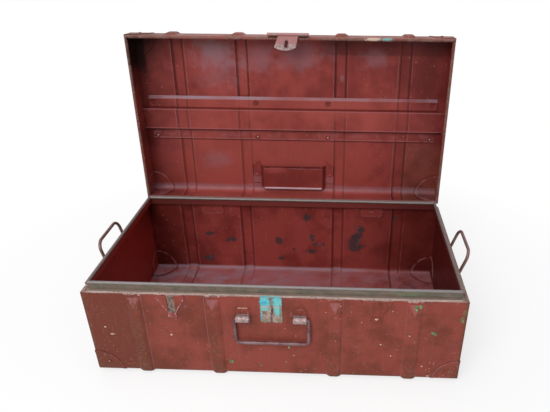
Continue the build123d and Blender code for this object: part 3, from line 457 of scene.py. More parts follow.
# Patches on the lock plate, laid in turn: x from its middle and z, reach across and up, paint, strength
lock_patches = (
    (9.5, 124.0, 7.0, 7.0, "steel", 0.7),
    (-10.0, 144.5, 8.5, 5.0, "turquoise_thin", 0.9),
    (10.0, 142.0, 5.5, 9.5, "turquoise_thin", 1.0),
    (10.5, 136.5, 4.0, 6.0, "turquoise", 0.5),
    (-15.4, 136.0, 2.0, 15.0, "turquoise_thin", 0.6),
    (-16.6, 128.0, 2.4, 5.5, "turquoise_deep", 0.7),
    (-11.0, 137.0, 4.0, 4.6, "rim", 0.8),
    (-12.0, 119.8, 5.5, 2.4, "moss", 1.0),
    (13.6, 121.0, 2.2, 3.0, "moss", 0.9),
    (14.6, 136.0, 1.6, 12.0, "moss", 0.7),
    (-10.5, 157.5, 10.5, 8.5, "turquoise", 1.0),
    (-11.5, 155.0, 6.0, 4.0, "turquoise_deep", 0.75),
    (10.0, 157.5, 8.5, 9.0, "turquoise", 1.0),
    (11.0, 156.0, 5.0, 6.0, "turquoise_thin", 0.7),
)
# Rivets of the stiffener's rear flange, by their x
rear_rivets = (-277.0, -stiffener_rivet, stiffener_rivet, 277.0)
# Flanks of the front's ribs whose paint has cracked to a light line, by their x
flank_lines = (-206.6, -108.0, 108.2, 206.9)
# Painted reflection of a cool sheen, and worn spots, on the lid's ceiling: middle x and y, reach across
# and along, strength
sheens = (
    (-147.0, -122.0, 42.0, 30.0, 0.55),
    (-140.0, -82.0, 48.0, 26.0, 0.2),
    (-60.0, -118.0, 30.0, 34.0, 0.3),
    (14.0, -120.0, 44.0, 30.0, 0.35),
    (75.0, -128.0, 18.0, 22.0, 0.1),
    (160.0, -118.0, 30.0, 18.0, 0.25),
    (-94.0, -109.0, 8.0, 12.0, 0.35),
    (98.0, -79.0, 5.0, 9.0, 0.35),
    (-160.0, 90.0, 34.0, 20.0, 0.22),
    (-55.0, 120.0, 30.0, 16.0, 0.2),
)


def red_enamel(name, on_lid, enamel):
    """Enamel with clouds, soft dents, brushed streaks, rust along ribs and edges, chips and bloom."""
    f = Finish(name, on_lid, rough=enamel.gloss, glint=enamel.glint)
    clouds = f.noise(enamel.grain, detail=3.0, seed=1.1)
    drift = f.noise(170.0, detail=1.0, seed=7.7)
    speckle = f.noise(2.4, detail=4.0, rough=0.75, seed=2.9)
    grit = f.noise(5.5, detail=4.0, rough=0.7, seed=8.8)
    streaks = f.noise(16.0, detail=3.0, stretch=(0.35, 2.5, 2.5), seed=3.4)
    wear = 0.8 + 0.4 * enamel.wear
    left = f.x.from_to(-110.0, -275.0)

    # the outside turns duller and browner in clouds and towards the left end
    duller = (clouds * 0.7 + left * 0.26).from_to(0.26, 0.56)
    outer = f.mix(duller, enamel.outside[:], enamel.outside_dull[:])
    cloudy = (clouds * 0.6 + drift * 0.4).from_to(0.4, 0.62)
    inner = f.mix(cloudy, enamel.inside[:], enamel.inside_dull[:])
    f.colour = f.mix(f.outside, inner, outer)
    f.lay(streaks.from_to(0.52, 0.8) * 0.14, colour=enamel.bloom_and_highlight[:])

    # rust: on the ribs, the bottom edge and the ends, thin elsewhere
    on_rib = f.rib.from_to(14.0, 6.0) * (1 - 0.5 * f.x.from_to(40.0, 90.0) * f.z.from_to(20.0, 90.0))
    on_rib = on_rib * (1 - 0.6 * f.z.from_to(75.0, 125.0))
    low_edge = f.z.from_to(40.0, 4.0)
    ends = abs(f.x).from_to(half_width - 9.0, half_width - 1.0) * abs(f.face_x).from_to(0.8, 0.4)
    amount = on_rib * 0.1 + low_edge * 0.07 + ends * 0.12 + drift * 0.08
    brown = (clouds * 0.5 + grit * 0.5 + amount * wear).from_to(0.52, 0.68)
    f.lay(brown * f.outside * 0.6, colour=enamel.outside_dull[:], rough=0.6)
    rusty = (grit + amount * wear * 0.9).from_to(0.6, 0.7)
    f.lay(rusty * f.outside * 0.6, colour=enamel.rust[:], rough=0.7, rise=0.08)
    fleck = (f.noise(4.2, detail=3.0, rough=0.7, seed=24.0) + amount * wear * 0.8).from_to(0.66, 0.72)
    f.lay(fleck * f.outside * 0.55, colour=enamel.olive[:], rough=0.75, rise=-0.06)
    uneven = (f.crumble - 0.5) * 5.0
    # painted highlight: the ribs' upward sloping ends, lit from above, laid lighter with a ragged outline
    rubbed = (f.rib - (f.z - 140.0) * 0.5 + uneven * 1.8).from_to(2.4, -1.6) * f.z.from_to(158.6, 156.8)
    f.lay(rubbed * f.outside * (0.05 + grit), colour=enamel.bloom_and_highlight[:], rough=0.5)
    # partly worn paint, partly painted light: a pale line broken by grit along the corner caps' edges,
    # laid over the shadow their edges cast
    arc = f.from_corner.near(plate_reach, 1.0, 1.2) * grit.from_to(0.4, 0.56)
    arc = arc * (0.4 + 0.6 * f.x.from_to(-20.0, 20.0))
    f.lay(arc * f.outside * 0.75, colour=enamel.bloom_and_highlight[:])
    winding = f.noise(26.0, detail=2.0, stretch=(0.8, 1.0, 1.3), seed=41.0)
    scratch = abs(winding - 0.5).from_to(0.008, 0.003) * f.noise(17.0, seed=42.0).from_to(0.58, 0.62)
    f.lay(scratch * f.outside * 0.6, colour=enamel.bloom_and_highlight[:])
    near_corner = f.from_corner.from_to(48.0, 36.0) * grit.from_to(0.4, 0.6)
    f.lay(near_corner * f.outside * 0.5, colour=enamel.rust[:], rough=0.7)
    sprinkled = f.dots(6.0, 0.9, 0.5, seed=48.0) * f.from_corner.from_to(80.0, 50.0)
    f.lay(sprinkled * f.outside * 0.6, colour=enamel.chip[:], rough=0.7)

    # inside: painted shade towards the ends and in the ribs' flanks, and a painted highlight, broken by
    # streaks, beside them
    within = 1 - f.outside
    to_ends = abs(f.x).from_to(140.0, 290.0) * abs(f.face_x).from_to(0.9, 0.5)
    f.lay(within * to_ends * ((0.25 if on_lid else 0.5) + 0.7 * clouds), colour=enamel.shade[:])
    f.lay(within * f.rib.near(rib_flank, 1.4, 1.6) * (0.75 if on_lid else 0.5), colour=enamel.shade[:])
    beside = f.rib.near(rib_flank + 3.2, 0.3, 0.8)
    f.lay(within * beside * streaks.from_to(0.3, 0.6) * 0.45, colour=enamel.bloom_and_highlight[:])

    f.lay(within * f.dots(7.0, 0.75, 0.22, seed=47.0) * 0.35, colour=enamel.chip[:], rough=0.6)

    # scattered pale dots and bare pinholes
    scattered = f.dots(8.0, 0.75, 0.24, seed=5.0) * (0.3 + 0.35 * f.x.from_to(-100.0, 60.0))
    f.lay(scattered * f.outside, colour=enamel.chip[:], rough=0.7, rise=-0.1)
    f.lay(f.dots(13.0, 0.9, 0.14, seed=9.0) * 0.8, colour=enamel.rust[:], rough=0.8, rise=-0.1)

    # height: soft dents, the enamel's own ripple and the rust's crust
    f.raise_by((f.noise(64.0, detail=1.0, seed=6.1) - 0.5) * enamel.dents)
    f.raise_by((f.noise(9.0, detail=2.0, seed=6.7) - 0.5) * 0.12)
    f.raise_by(brown * speckle * 0.12 * f.outside)
    f.rough = f.rough + (clouds - 0.5) * 0.2
    return f


def front_marks(f, enamel):
    """Chips and drops of other paint on the front wall, and bare patches inside the back wall."""
    on_front = f.outside * f.y.from_to(-half_depth + 9.0, -half_depth + 5.0)
    for x, z, wide, high in pale_chips:
        spot = f.spot(x, -half_depth, z, 0.8 * wide, through, 0.8 * high, 0.55)
        f.lay(spot * on_front * 0.9, colour=enamel.chip[:], rough=0.6, rise=-0.15)
    for x, z, wide, high in green_chips:
        spot = f.spot(x, -half_depth, z, 0.85 * wide, through, 0.85 * high, 0.6)
        f.lay(spot * on_front * (0.5 if x > 290.0 else 0.9), colour=enamel.green[:], rough=0.5, rise=0.1)
        f.lay(spot * on_front * f.crumble.from_to(0.5, 0.58) * 0.7, colour=enamel.green_pale[:])
        f.lay(spot * on_front * f.crumble.from_to(0.45, 0.38) * 0.6, colour=enamel.rust[:])
    for x, z, wide, high in dark_chips:
        spot = f.spot(x, -half_depth, z, wide, through, high, 0.6)
        f.lay(spot * on_front * 0.6, colour=enamel.rust[:], rough=0.6, rise=-0.15)
    within = (1 - f.outside) * f.y.from_to(half_depth - 12.0, half_depth - 6.0)
    for x, z, wide, high in bare_patches:
        spot = f.spot(x, half_depth, z, 1.1 * wide, through, 1.1 * high, torn=3.8) * within
        f.lay(spot * 0.85, colour=enamel.bare[:], rough=0.5, rise=-0.15)
        f.lay(spot * f.cloud.from_to(0.5, 0.6) * 0.16, colour=enamel.lilac[:])


def edge_line(f, enamel):
    """The dark worn edge down the ends, and the light lines down some of the ribs' flanks."""
    edge = abs(f.x).from_to(half_width - 4.5, half_width - 2.5) * abs(f.face_x).from_to(0.95, 0.6)
    patchy = f.noise(11.0, detail=3.0, rough=0.7, stretch=(1.0, 1.0, 1.8), seed=11.0)
    f.lay((edge * patchy).from_to(0.4, 0.52) * f.outside * 0.8, colour=enamel.rust[:], rough=0.8)
    broken = f.noise(30.0, detail=3.0, seed=12.0).from_to(0.3, 0.5)
    for x in flank_lines:
        share = 0.5 if x < 0.0 else 0.3
        f.lay((f.x - x).near(0.0, 0.2, 0.7) * broken * f.outside * share, colour=enamel.bloom_and_highlight[:])


def ledge_wear(f, metal, enamel):
    """The pale, chipped ledge outside the collar, rubbed by the lid's rim."""
    ledge = f.z.from_to(shoulder - 0.9, shoulder - 0.3) * f.face_z.from_to(0.5, 0.9)
    runs = f.noise(14.0, detail=4.0, rough=0.7, stretch=(3.0, 0.25, 1.0), seed=13.0)
    f.lay(ledge, colour=f.mix(runs.from_to(0.38, 0.55), metal.ledge_dull[:], metal.ledge[:]), rough=0.5)
    sides = abs(f.x).from_to(half_width - 12.0, half_width - 7.0)
    f.lay(ledge * sides * 0.85, colour=metal.rim[:], rough=0.6)
    smear = f.spot(lock_x, -half_depth, shoulder, 16.0, 4.0, 3.0, 0.5)
    f.lay(smear * f.outside * 0.85, colour=metal.turquoise[:])
    worked = f.rib.from_to(20.0, 8.0).most(abs(abs(f.x) + catch_x).from_to(26.0, 16.0))
    loose = f.crumble * 0.6 + f.cloud * 0.4 + worked * 0.13 - (shoulder - f.z) * 0.05
    flaked = loose.from_to(0.5, 0.56) * f.outside * f.z.from_to(shoulder - 6.0, shoulder - 4.0)
    f.lay(flaked * 0.7, colour=metal.steel[:], rough=0.5)
    f.lay(flaked * f.noise(2.2, detail=2.0, seed=43.0).from_to(0.55, 0.62) * 0.8, colour=enamel.chip[:])
    f.lay(flaked * f.noise(2.6, detail=2.0, seed=44.0).from_to(0.56, 0.64) * 0.7, colour=enamel.rust[:])


def base_inside(f, enamel):
    """Dust on the floor, painted light and shade on the ends and painted shade towards the right, a
    painted reflection on the floor and a painted highlight along its curve to the back wall, painted
    highlights and shadows outlining the corner plates, and painted shadow round the backing plates.
    """
    within = 1 - f.outside
    # painted light and shade on the ends' insides: the left end lighter and redder, with painted shade in
    # its upper rear corner, the right end painted darker
    left_end = within * f.face_x.from_to(0.6, 0.9)
    f.lay(left_end * (0.55 + 0.5 * f.cloud), colour=enamel.lit_ruddy[:])
    f.lay(left_end * f.y.from_to(50.0, 150.0) * f.z.from_to(70.0, 160.0) * 0.55, colour=enamel.shade[:])
    f.lay(within * f.face_x.from_to(-0.6, -0.9) * 0.9, colour=enamel.shade[:])
    # painted shadow: a dark line round the hinges' backing plates on the back wall
    beside = abs(abs(f.x) - backing_middle)
    shadowed = beside.near(22.0, 0.6, 1.4) * f.z.from_to(139.0, 142.0)
    shadowed = shadowed.most(f.z.near(140.8, 0.5, 1.2) * beside.from_to(23.0, 21.5))
    back_wall = within * f.y.from_to(half_depth - 12.0, half_depth - 6.0)
    f.lay(back_wall * shadowed * 0.6, colour=enamel.shade[:])
    # painted shade: the inside darker towards the right end
    f.lay(within * f.x.from_to(60.0, 240.0) * 0.3, colour=enamel.shade[:])
    floor = within * f.z.from_to(16.0, 7.0) * f.face_z.from_to(0.4, 0.9)
    dusty = f.noise(38.0, detail=4.0, rough=0.6, seed=14.0).from_to(0.3, 0.6)
    dust = dusty * 0.5 + 0.15 + 0.35 * f.x.from_to(190.0, 30.0)
    f.lay(floor * dust, colour=enamel.dust[:], rough=0.5)
    # painted reflection: a cool lilac sheen in clouds on the floor, stronger towards the left
    cool = f.noise(26.0, detail=4.0, rough=0.65, stretch=(1.6, 1.0, 1.0), seed=25.0).from_to(0.45, 0.65)
    f.lay(floor * cool * (0.25 + 0.5 * f.x.from_to(60.0, -200.0)), colour=enamel.lilac[:])
    # painted highlight along the curve where the floor meets the back wall
    bend_highlight = within * f.y.from_to(half_depth - 16.0, half_depth - 8.0) * f.z.near(8.0, 1.5, 2.0)
    f.lay(bend_highlight * f.x.from_to(200.0, 120.0) * 0.55, colour=enamel.lilac[:])
    # painted highlight along the corner plates' edges, broken by clouds, and painted shadow just outside
    # them
    rubbed = f.from_corner.near(plate_reach - 1.5, 1.0, 1.6) * f.cloud.from_to(0.35, 0.55)
    f.lay(within * rubbed * 0.4, colour=enamel.bloom_and_highlight[:])
    f.lay(within * f.from_corner.near(plate_reach + 1.5, 0.8, 1.6) * 0.6, colour=enamel.shade[:])


def lid_inside(f, enamel):
    """Painted shadow, black, in the far left corner, painted reflection of a cool sheen on the ceiling,
    painted shadow and highlight along its top, folds and edges, and painted highlight and shadow outlining
    the corner plates.
    """
    within = 1 - f.outside
    # painted shadow: black in the far left corner of the lid's inside, where its end and front walls shade
    # it
    ragged = (f.noise(24.0, detail=3.0, seed=15.0) - 0.5) * 30.0
    corner = (f.x + f.y * 0.3 + ragged).from_to(-286.0, -318.0) * (f.y + ragged).from_to(-20.0, -110.0)
    core = (f.x + ragged * 0.25).from_to(-277.0, -284.0) * (f.y + ragged).from_to(-60.0, -110.0)
    f.lay(within * (corner * 0.6).most(core) * 0.95, colour=enamel.corner_shadow[:], rough=0.8)
    light = f.y.from_to(20.0, 45.0) * f.x.from_to(210.0, 60.0) * f.x.from_to(-300.0, -170.0)
    f.lay(within * light * 0.6, colour=enamel.inside_light[:])
    # painted shadow along the top of the ceiling's right half, as cast by the lid's front wall
    ceiling_shadow = (f.y + (f.cloud - 0.5) * 5.0).from_to(-121.0, -125.0) * f.x.from_to(40.0, 75.0)
    f.lay(within * ceiling_shadow * 0.55, colour=enamel.shade[:])
    # painted shadow on the ceiling just behind the edge of the stiffener's rear flange
    under = f.y.near(stiffener_edge + 1.3, 0.7, 1.3) * abs(f.x).from_to(290.0, 284.0)
    f.lay(within * under * 0.75, colour=enamel.shade[:])
    f.lay(within * f.x.from_to(214.0, 236.0) * f.y.from_to(40.0, 60.0) * 0.13, colour=enamel.olive[:])
    # painted sheen: an olive-grey haze at the ceiling's top left
    f.lay(within * f.haze(-150.0, -138.0, lid_top, 40.0, 16.0, 90.0) * 0.25, colour=enamel.olive[:])
    # painted highlight along the curve from the ceiling to the lid's rear wall
    bend_highlight = f.y.near(150.5, 3.0, 5.5) * (0.15 + 0.75 * f.cloud) * abs(f.x).from_to(20.0, 80.0)
    f.lay(within * bend_highlight * 0.62, colour=enamel.lilac[:], rough=0.4)
    # painted highlight along the rear corner plates' edges, broken by clouds, and painted shadow just
    # outside them
    plates = within * f.y.from_to(60.0, 90.0)
    rubbed = f.from_corner.near(plate_reach - 1.5, 0.9, 1.4) * f.cloud.from_to(0.4, 0.6)
    f.lay(plates * rubbed * 0.5, colour=enamel.bloom_and_highlight[:])
    f.lay(plates * f.from_corner.near(plate_reach + 1.5, 0.8, 1.5) * 0.4, colour=enamel.shade[:])
    # painted reflection: cool lilac hazes on the ceiling, with a few small worn spots
    for x, y, wide, high, share in sheens:
        f.lay(f.haze(x, y, lid_top, wide, high, 90.0) * within * share, colour=enamel.lilac[:])


def worn_steel(name, light, dark, rough=0.42, metal=0.6, on_lid=False, size=4.0):
    """Bare steel, pitted and stained, in cloudy light and dark tones."""
    f = Finish(name, on_lid, rough=rough, metal=metal)
    clouds = f.noise(size, detail=3.0, rough=0.65, seed=2.2)
    f.colour = f.mix(clouds.from_to(0.38, 0.62), light[:], dark[:])
    pits = f.noise(1.3, detail=2.0, rough=0.6, seed=5.1)
    f.lay(pits.from_to(0.6, 0.72) * 0.6, colour=[0.4 * c for c in dark], rough=0.75, rise=-0.08)
    f.raise_by((clouds - 0.5) * 0.2)
    return f


def seen_ray(nodes, links):
    """1 for a ray that is seen: straight from the camera, mirrored by metal or let through by glass."""
    ray = nodes.new("ShaderNodeLightPath")
    seen = ray.outputs["Is Camera Ray"]
    for kind in ("Is Glossy Ray", "Is Transmission Ray"):
        most = nodes.new("ShaderNodeMath")
        most.operation = "MAXIMUM"
        links.new(seen, most.inputs[0])
        links.new(ray.outputs[kind], most.inputs[1])
        seen = most.outputs[0]
    return seen


# ---------------------------------------------------------------- operators

corners = [f"{end}_{side}" for end in ("front", "back") for side in ("left", "right")]


class TRUNK_OT_base(bpy.types.Operator):
    """Enamels the base, its corners and its ends"""

    bl_idname = "trunk.base"
    bl_label = "Enamel the base"

    def execute(self, context):
        metal, enamel = context.scene.trunk.metal, context.scene.trunk.enamel
        f = red_enamel("base_enamel", False, enamel)
        edge_line(f, enamel)
        ledge_wear(f, metal, enamel)
        base_inside(f, enamel)
        front_marks(f, enamel)
        f.done("base_wrap", "base_end_left", "base_end_right")
        fittings = red_enamel("base_corner_enamel", False, enamel)
        edge_line(fittings, enamel)
        base_inside(fittings, enamel)
        for way in (-1.0, 1.0):
            head = fittings.spot(lock_x + way * 9.5, lock_face, 124.5, 4.0, through, 4.0, 0.0)
            fittings.lay(head * 0.8, colour=metal.tan[:], rough=0.5)
        chip = fittings.spot(-catch_x + 0.5, lock_face, 130.4, 2.6, through, 1.2, 0.6)
        fittings.lay(chip * 0.8, colour=enamel.chip[:], rough=0.6)
        self.finish_backings(enamel)
        fittings.done(
            *[f"base_{kind}_{corner}" for kind in ("corner", "cap") for corner in corners],
            "catch_plate_right",
            "base_rivets",
            "hinge_base_leaf_left",
            "hinge_base_leaf_right",
        )
        return {"FINISHED"}

    def finish_backings(self, enamel):
        """The hinges' backing plates: enamel rubbed light along their edges; the painted shadow round them
        is laid on the back wall.
        """
        f = red_enamel("backing_enamel", False, enamel)
        edge = abs(abs(f.x) - backing_middle).from_to(18.5, 20.5).most(f.z.from_to(144.0, 142.0))
        f.lay(edge * f.crumble.from_to(0.35, 0.55) * 0.35, colour=enamel.bloom_and_highlight[:])
        f.lay((1 - edge) * 0.2, colour=enamel.inside_light[:])
        head = f.spot(backing_middle, half_depth, 152.0, 4.0, through, 3.0, 0.3)
        f.lay(head * 0.6, colour=enamel.bloom_and_highlight[:])
        f.done("hinge_backing_left", "hinge_backing_right")


class TRUNK_OT_lid(bpy.types.Operator):
    """Enamels the lid, its corners, its stiffener and its pocket"""

    bl_idname = "trunk.lid"
    bl_label = "Enamel the lid"

    def execute(self, context):
        metal, enamel = context.scene.trunk.metal, context.scene.trunk.enamel
        f = red_enamel("lid_enamel", True, enamel)
        edge_line(f, enamel)
        lid_inside(f, enamel)
        self.wear_rim(f, metal, enamel)
        f.done("lid_wrap", "lid_end_left", "lid_end_right")
        fittings = red_enamel("lid_fitting_enamel", True, enamel)
        lid_inside(fittings, enamel)
        # painted highlight: a pale dot on each rear rivet's head
        for x in rear_rivets:
            shine = fittings.spot(x + 0.6, stiffener_edge - 6.6, lid_top, 1.5, 1.5, through, 0.3)
            fittings.lay(shine * 0.6, colour=enamel.chip[:])
        fittings.done(
            *[f"lid_{kind}_{corner}" for kind in ("corner", "cap") for corner in corners],
            "lid_rivets",
            "hinge_lid_leaf_left",
            "hinge_lid_leaf_right",
        )
        self.finish_stiffener(enamel)
        self.finish_pocket(enamel)
        return {"FINISHED"}

    def wear_rim(self, f, metal, enamel):
        """The rolled rim's dull bare wear and its chips."""
        rim = f.z.from_to(shoulder + 7.0, shoulder + 5.0)
        patchy = f.noise(18.0, detail=4.0, rough=0.7, seed=16.0)
        worn = (patchy * 0.6 + f.crumble * 0.4).from_to(0.42, 0.56)
        f.lay(rim * (worn * 0.6 + 0.3), colour=metal.rim[:], rough=0.55)
        f.lay(rim * (worn * f.crumble).from_to(0.56, 0.64) * 0.7, colour=metal.steel_dull[:], rough=0.55)
        f.lay(rim * f.dots(11.0, 1.0, 0.4, seed=17.0), colour=enamel.chip[:], rough=0.6)
        spilt = f.spot(153.0, -half_depth, shoulder, 13.0, 8.0, 9.0, 0.9)
        f.lay(rim * spilt * 0.8, colour=enamel.chip[:], rough=0.6)
        spilt = f.spot(178.0, -half_depth, shoulder, 8.0, 8.0, 9.0, 0.9)
        f.lay(rim * spilt * 0.7, colour=metal.turquoise_thin[:], rough=0.6)

    def finish_stiffener(self, enamel):
        """Enamel with a cool painted highlight on the bevel, painted highlights and shade along the folds
        and the rear flange, painted shade round the rear rivets and rust round the inner ones.
        """
        f = red_enamel("stiffener_enamel", True, enamel)
        patchy = f.noise(60.0, detail=2.0, seed=18.0).from_to(0.35, 0.6)
        left = abs(f.x + 130.0).from_to(150.0, 60.0)
        f.lay((0.3 + 0.45 * patchy) * abs(f.x).from_to(330.0, 90.0), colour=enamel.inside_light[:])
        # painted highlight along the bevel, which faces up, strongest left of the middle
        shine = f.y.near(-39.5, 2.6, 1.0) * (0.15 + 0.35 * patchy + 0.3 * left)
        f.lay(shine, colour=enamel.lilac[:], rough=0.4)
        # painted highlight and painted shade along the front fold
        f.lay(f.y.near(-16.8, 0.4, 0.9) * 0.55, colour=enamel.bloom_and_highlight[:], rough=0.4)
        f.lay(f.y.near(-19.4, 0.8, 0.8) * 0.6, colour=enamel.shade[:], rough=0.5)
        # painted highlight and painted shadow along the rear fold
        f.lay(f.y.near(21.0, 0.5, 1.0) * 0.4, colour=enamel.bloom_and_highlight[:], rough=0.4)
        f.lay(f.y.near(25.2, 1.2, 1.2) * 0.75, colour=enamel.shade[:], rough=0.5)
        # painted highlight in clouds on the rear flange and along its edge
        flange = f.y.near(34.0, 3.0, 5.0) * f.cloud.from_to(0.45, 0.65) * 0.3
        f.lay(flange, colour=enamel.bloom_and_highlight[:], rough=0.4)
        edge = f.y.near(stiffener_edge - 1.6, 0.6, 1.0) * f.cloud.from_to(0.35, 0.5) * 0.5
        f.lay(edge, colour=enamel.bloom_and_highlight[:], rough=0.4)
        # painted shade round the rear rivets, in their dimples
        for x in rear_rivets:
            ring = f.spot(x, stiffener_edge - 6.0, lid_top, 4.8, 4.8, through, 0.25)
            f.lay(ring * 0.75, colour=enamel.shade[:])
        ring = abs(abs(f.x) - stiffener_rivet).from_to(9.0, 3.0) * f.y.near(-28.5, 4.0, 4.0)
        f.lay(ring * 0.4, colour=enamel.rust[:])
        f.lay(f.dots(8.0, 0.5, 0.3, seed=19.0) * 0.4, colour=enamel.bloom_and_highlight[:])
        f.done("lid_stiffener")

    def finish_pocket(self, enamel):
        """Deeper enamel on the strap, with a painted highlight on its rolled lip, a painted reflection on
        its face, painted shadow under its top edge and painted shade on its flanks and under its ears.
        """
        f = red_enamel("pocket_enamel", True, enamel)
        f.lay(abs(f.x).from_to(66.0, 60.0) * 0.35, colour=enamel.inside_dull[:])
        face = abs(f.x).from_to(62.0, 58.0)
        ears = abs(f.x).from_to(65.0, 67.0)
        # painted highlight on the rolled lip, which faces up
        lip = f.y.near(pocket_lip, 1.9, 0.9) * face
        f.lay(lip * (0.55 + 0.6 * f.cloud), colour=enamel.lip[:], rough=0.3)
        # painted shadow under the face's top edge, where it stands off the ceiling
        f.lay(f.y.near(100.8, 1.3, 1.2) * face * 0.8, colour=enamel.shade[:])
        line = f.y.near(103.6, 0.5, 0.9) * face * f.cloud.from_to(0.4, 0.55)
        f.lay(line * 0.6, colour=enamel.bloom_and_highlight[:])
        blots = f.dots(16.0, 2.6, 0.8, seed=45.0) * f.y.near(102.0, 2.0, 1.5) * face
        f.lay(blots * 0.7, colour=enamel.olive[:])
        # painted reflection: a soft lighter patch on the face
        light = f.haze(-40.0, 108.0, 200.0, 26.0, 9.0, through) * face
        f.lay(light * 0.7, colour=enamel.inside_light[:])
        bright = ears * f.y.from_to(118.0, 130.0) * f.crumble.from_to(0.3, 0.5)
        f.lay(bright * 0.55, colour=enamel.bloom_and_highlight[:])
        # painted shade along the ears' lower edges
        f.lay(ears * f.y.near(139.5, 0.5, 0.8) * 0.7, colour=enamel.shade[:])
        # painted shade on the flanks between the face and the ears
        f.lay(abs(abs(f.x) - 65.0).from_to(3.5, 1.5) * 0.6, colour=enamel.shade[:])
        f.done("lid_pocket")


class TRUNK_OT_collar(bpy.types.Operator):
    """Gives the collar round the base its bare, stained metal"""

    bl_idname = "trunk.collar"
    bl_label = "Finish the collar"

    def execute(self, context):
        metal, enamel = context.scene.trunk.metal, context.scene.trunk.enamel
        bare, green = metal.collar, metal.collar_green
        f = worn_steel("collar_metal", bare, green, rough=0.5, metal=0.15, size=16.0)
        runs = f.noise(10.0, detail=3.0, rough=0.7, stretch=(4.0, 4.0, 0.6), seed=20.0)
        f.lay(runs.from_to(0.52, 0.66) * 0.5, colour=metal.ledge_dull[:])
        f.lay(runs.from_to(0.46, 0.34) * 0.45, colour=enamel.rust[:])
        olive = f.haze(205.0, -150.0, 171.0, 34.0, 20.0, 5.0)
        f.lay(olive * runs.from_to(0.4, 0.6) * 0.6, colour=metal.moss[:])
        within = (1 - f.outside) * f.z.from_to(177.0, 174.5)
        f.lay(within, colour=enamel.inside_dull[:], rough=0.5, metal=0.0)
        # painted shade on the collar's inner faces towards the ends, and painted light on the left end's,
        # as on the walls below
        f.lay(within * (0.3 + 0.6 * abs(f.x).from_to(120.0, 270.0)), colour=enamel.shade[:])
        f.lay(within * f.face_x.from_to(0.6, 0.9) * 0.85, colour=enamel.lit_ruddy[:])
        f.lay(f.z.from_to(176.8, 179.6) * 0.9, colour=metal.collar_pale[:], rough=0.45, metal=0.1)
        f.lay(f.z.from_to(166.6, 165.2) * f.outside * 0.8, colour=metal.ledge_dull[:], rough=0.5)
        sides = abs(f.x).from_to(half_width - 13.0, half_width - 9.0)
        f.lay(sides * (0.5 + 0.6 * f.cloud) * f.z.from_to(172.0, 176.0), colour=metal.rim[:], rough=0.55)
        f.lay(f.dots(9.0, 0.8, 0.25, seed=3.0) * f.outside * 0.6, colour=enamel.chip[:])
        f.done("collar_front", "collar_back", "collar_left", "collar_right", "collar_wire")
        rim = worn_steel("rim_wire_metal", metal.collar_pale, metal.collar, on_lid=True)
        rim.done("lid_rim_wire")
        return {"FINISHED"}


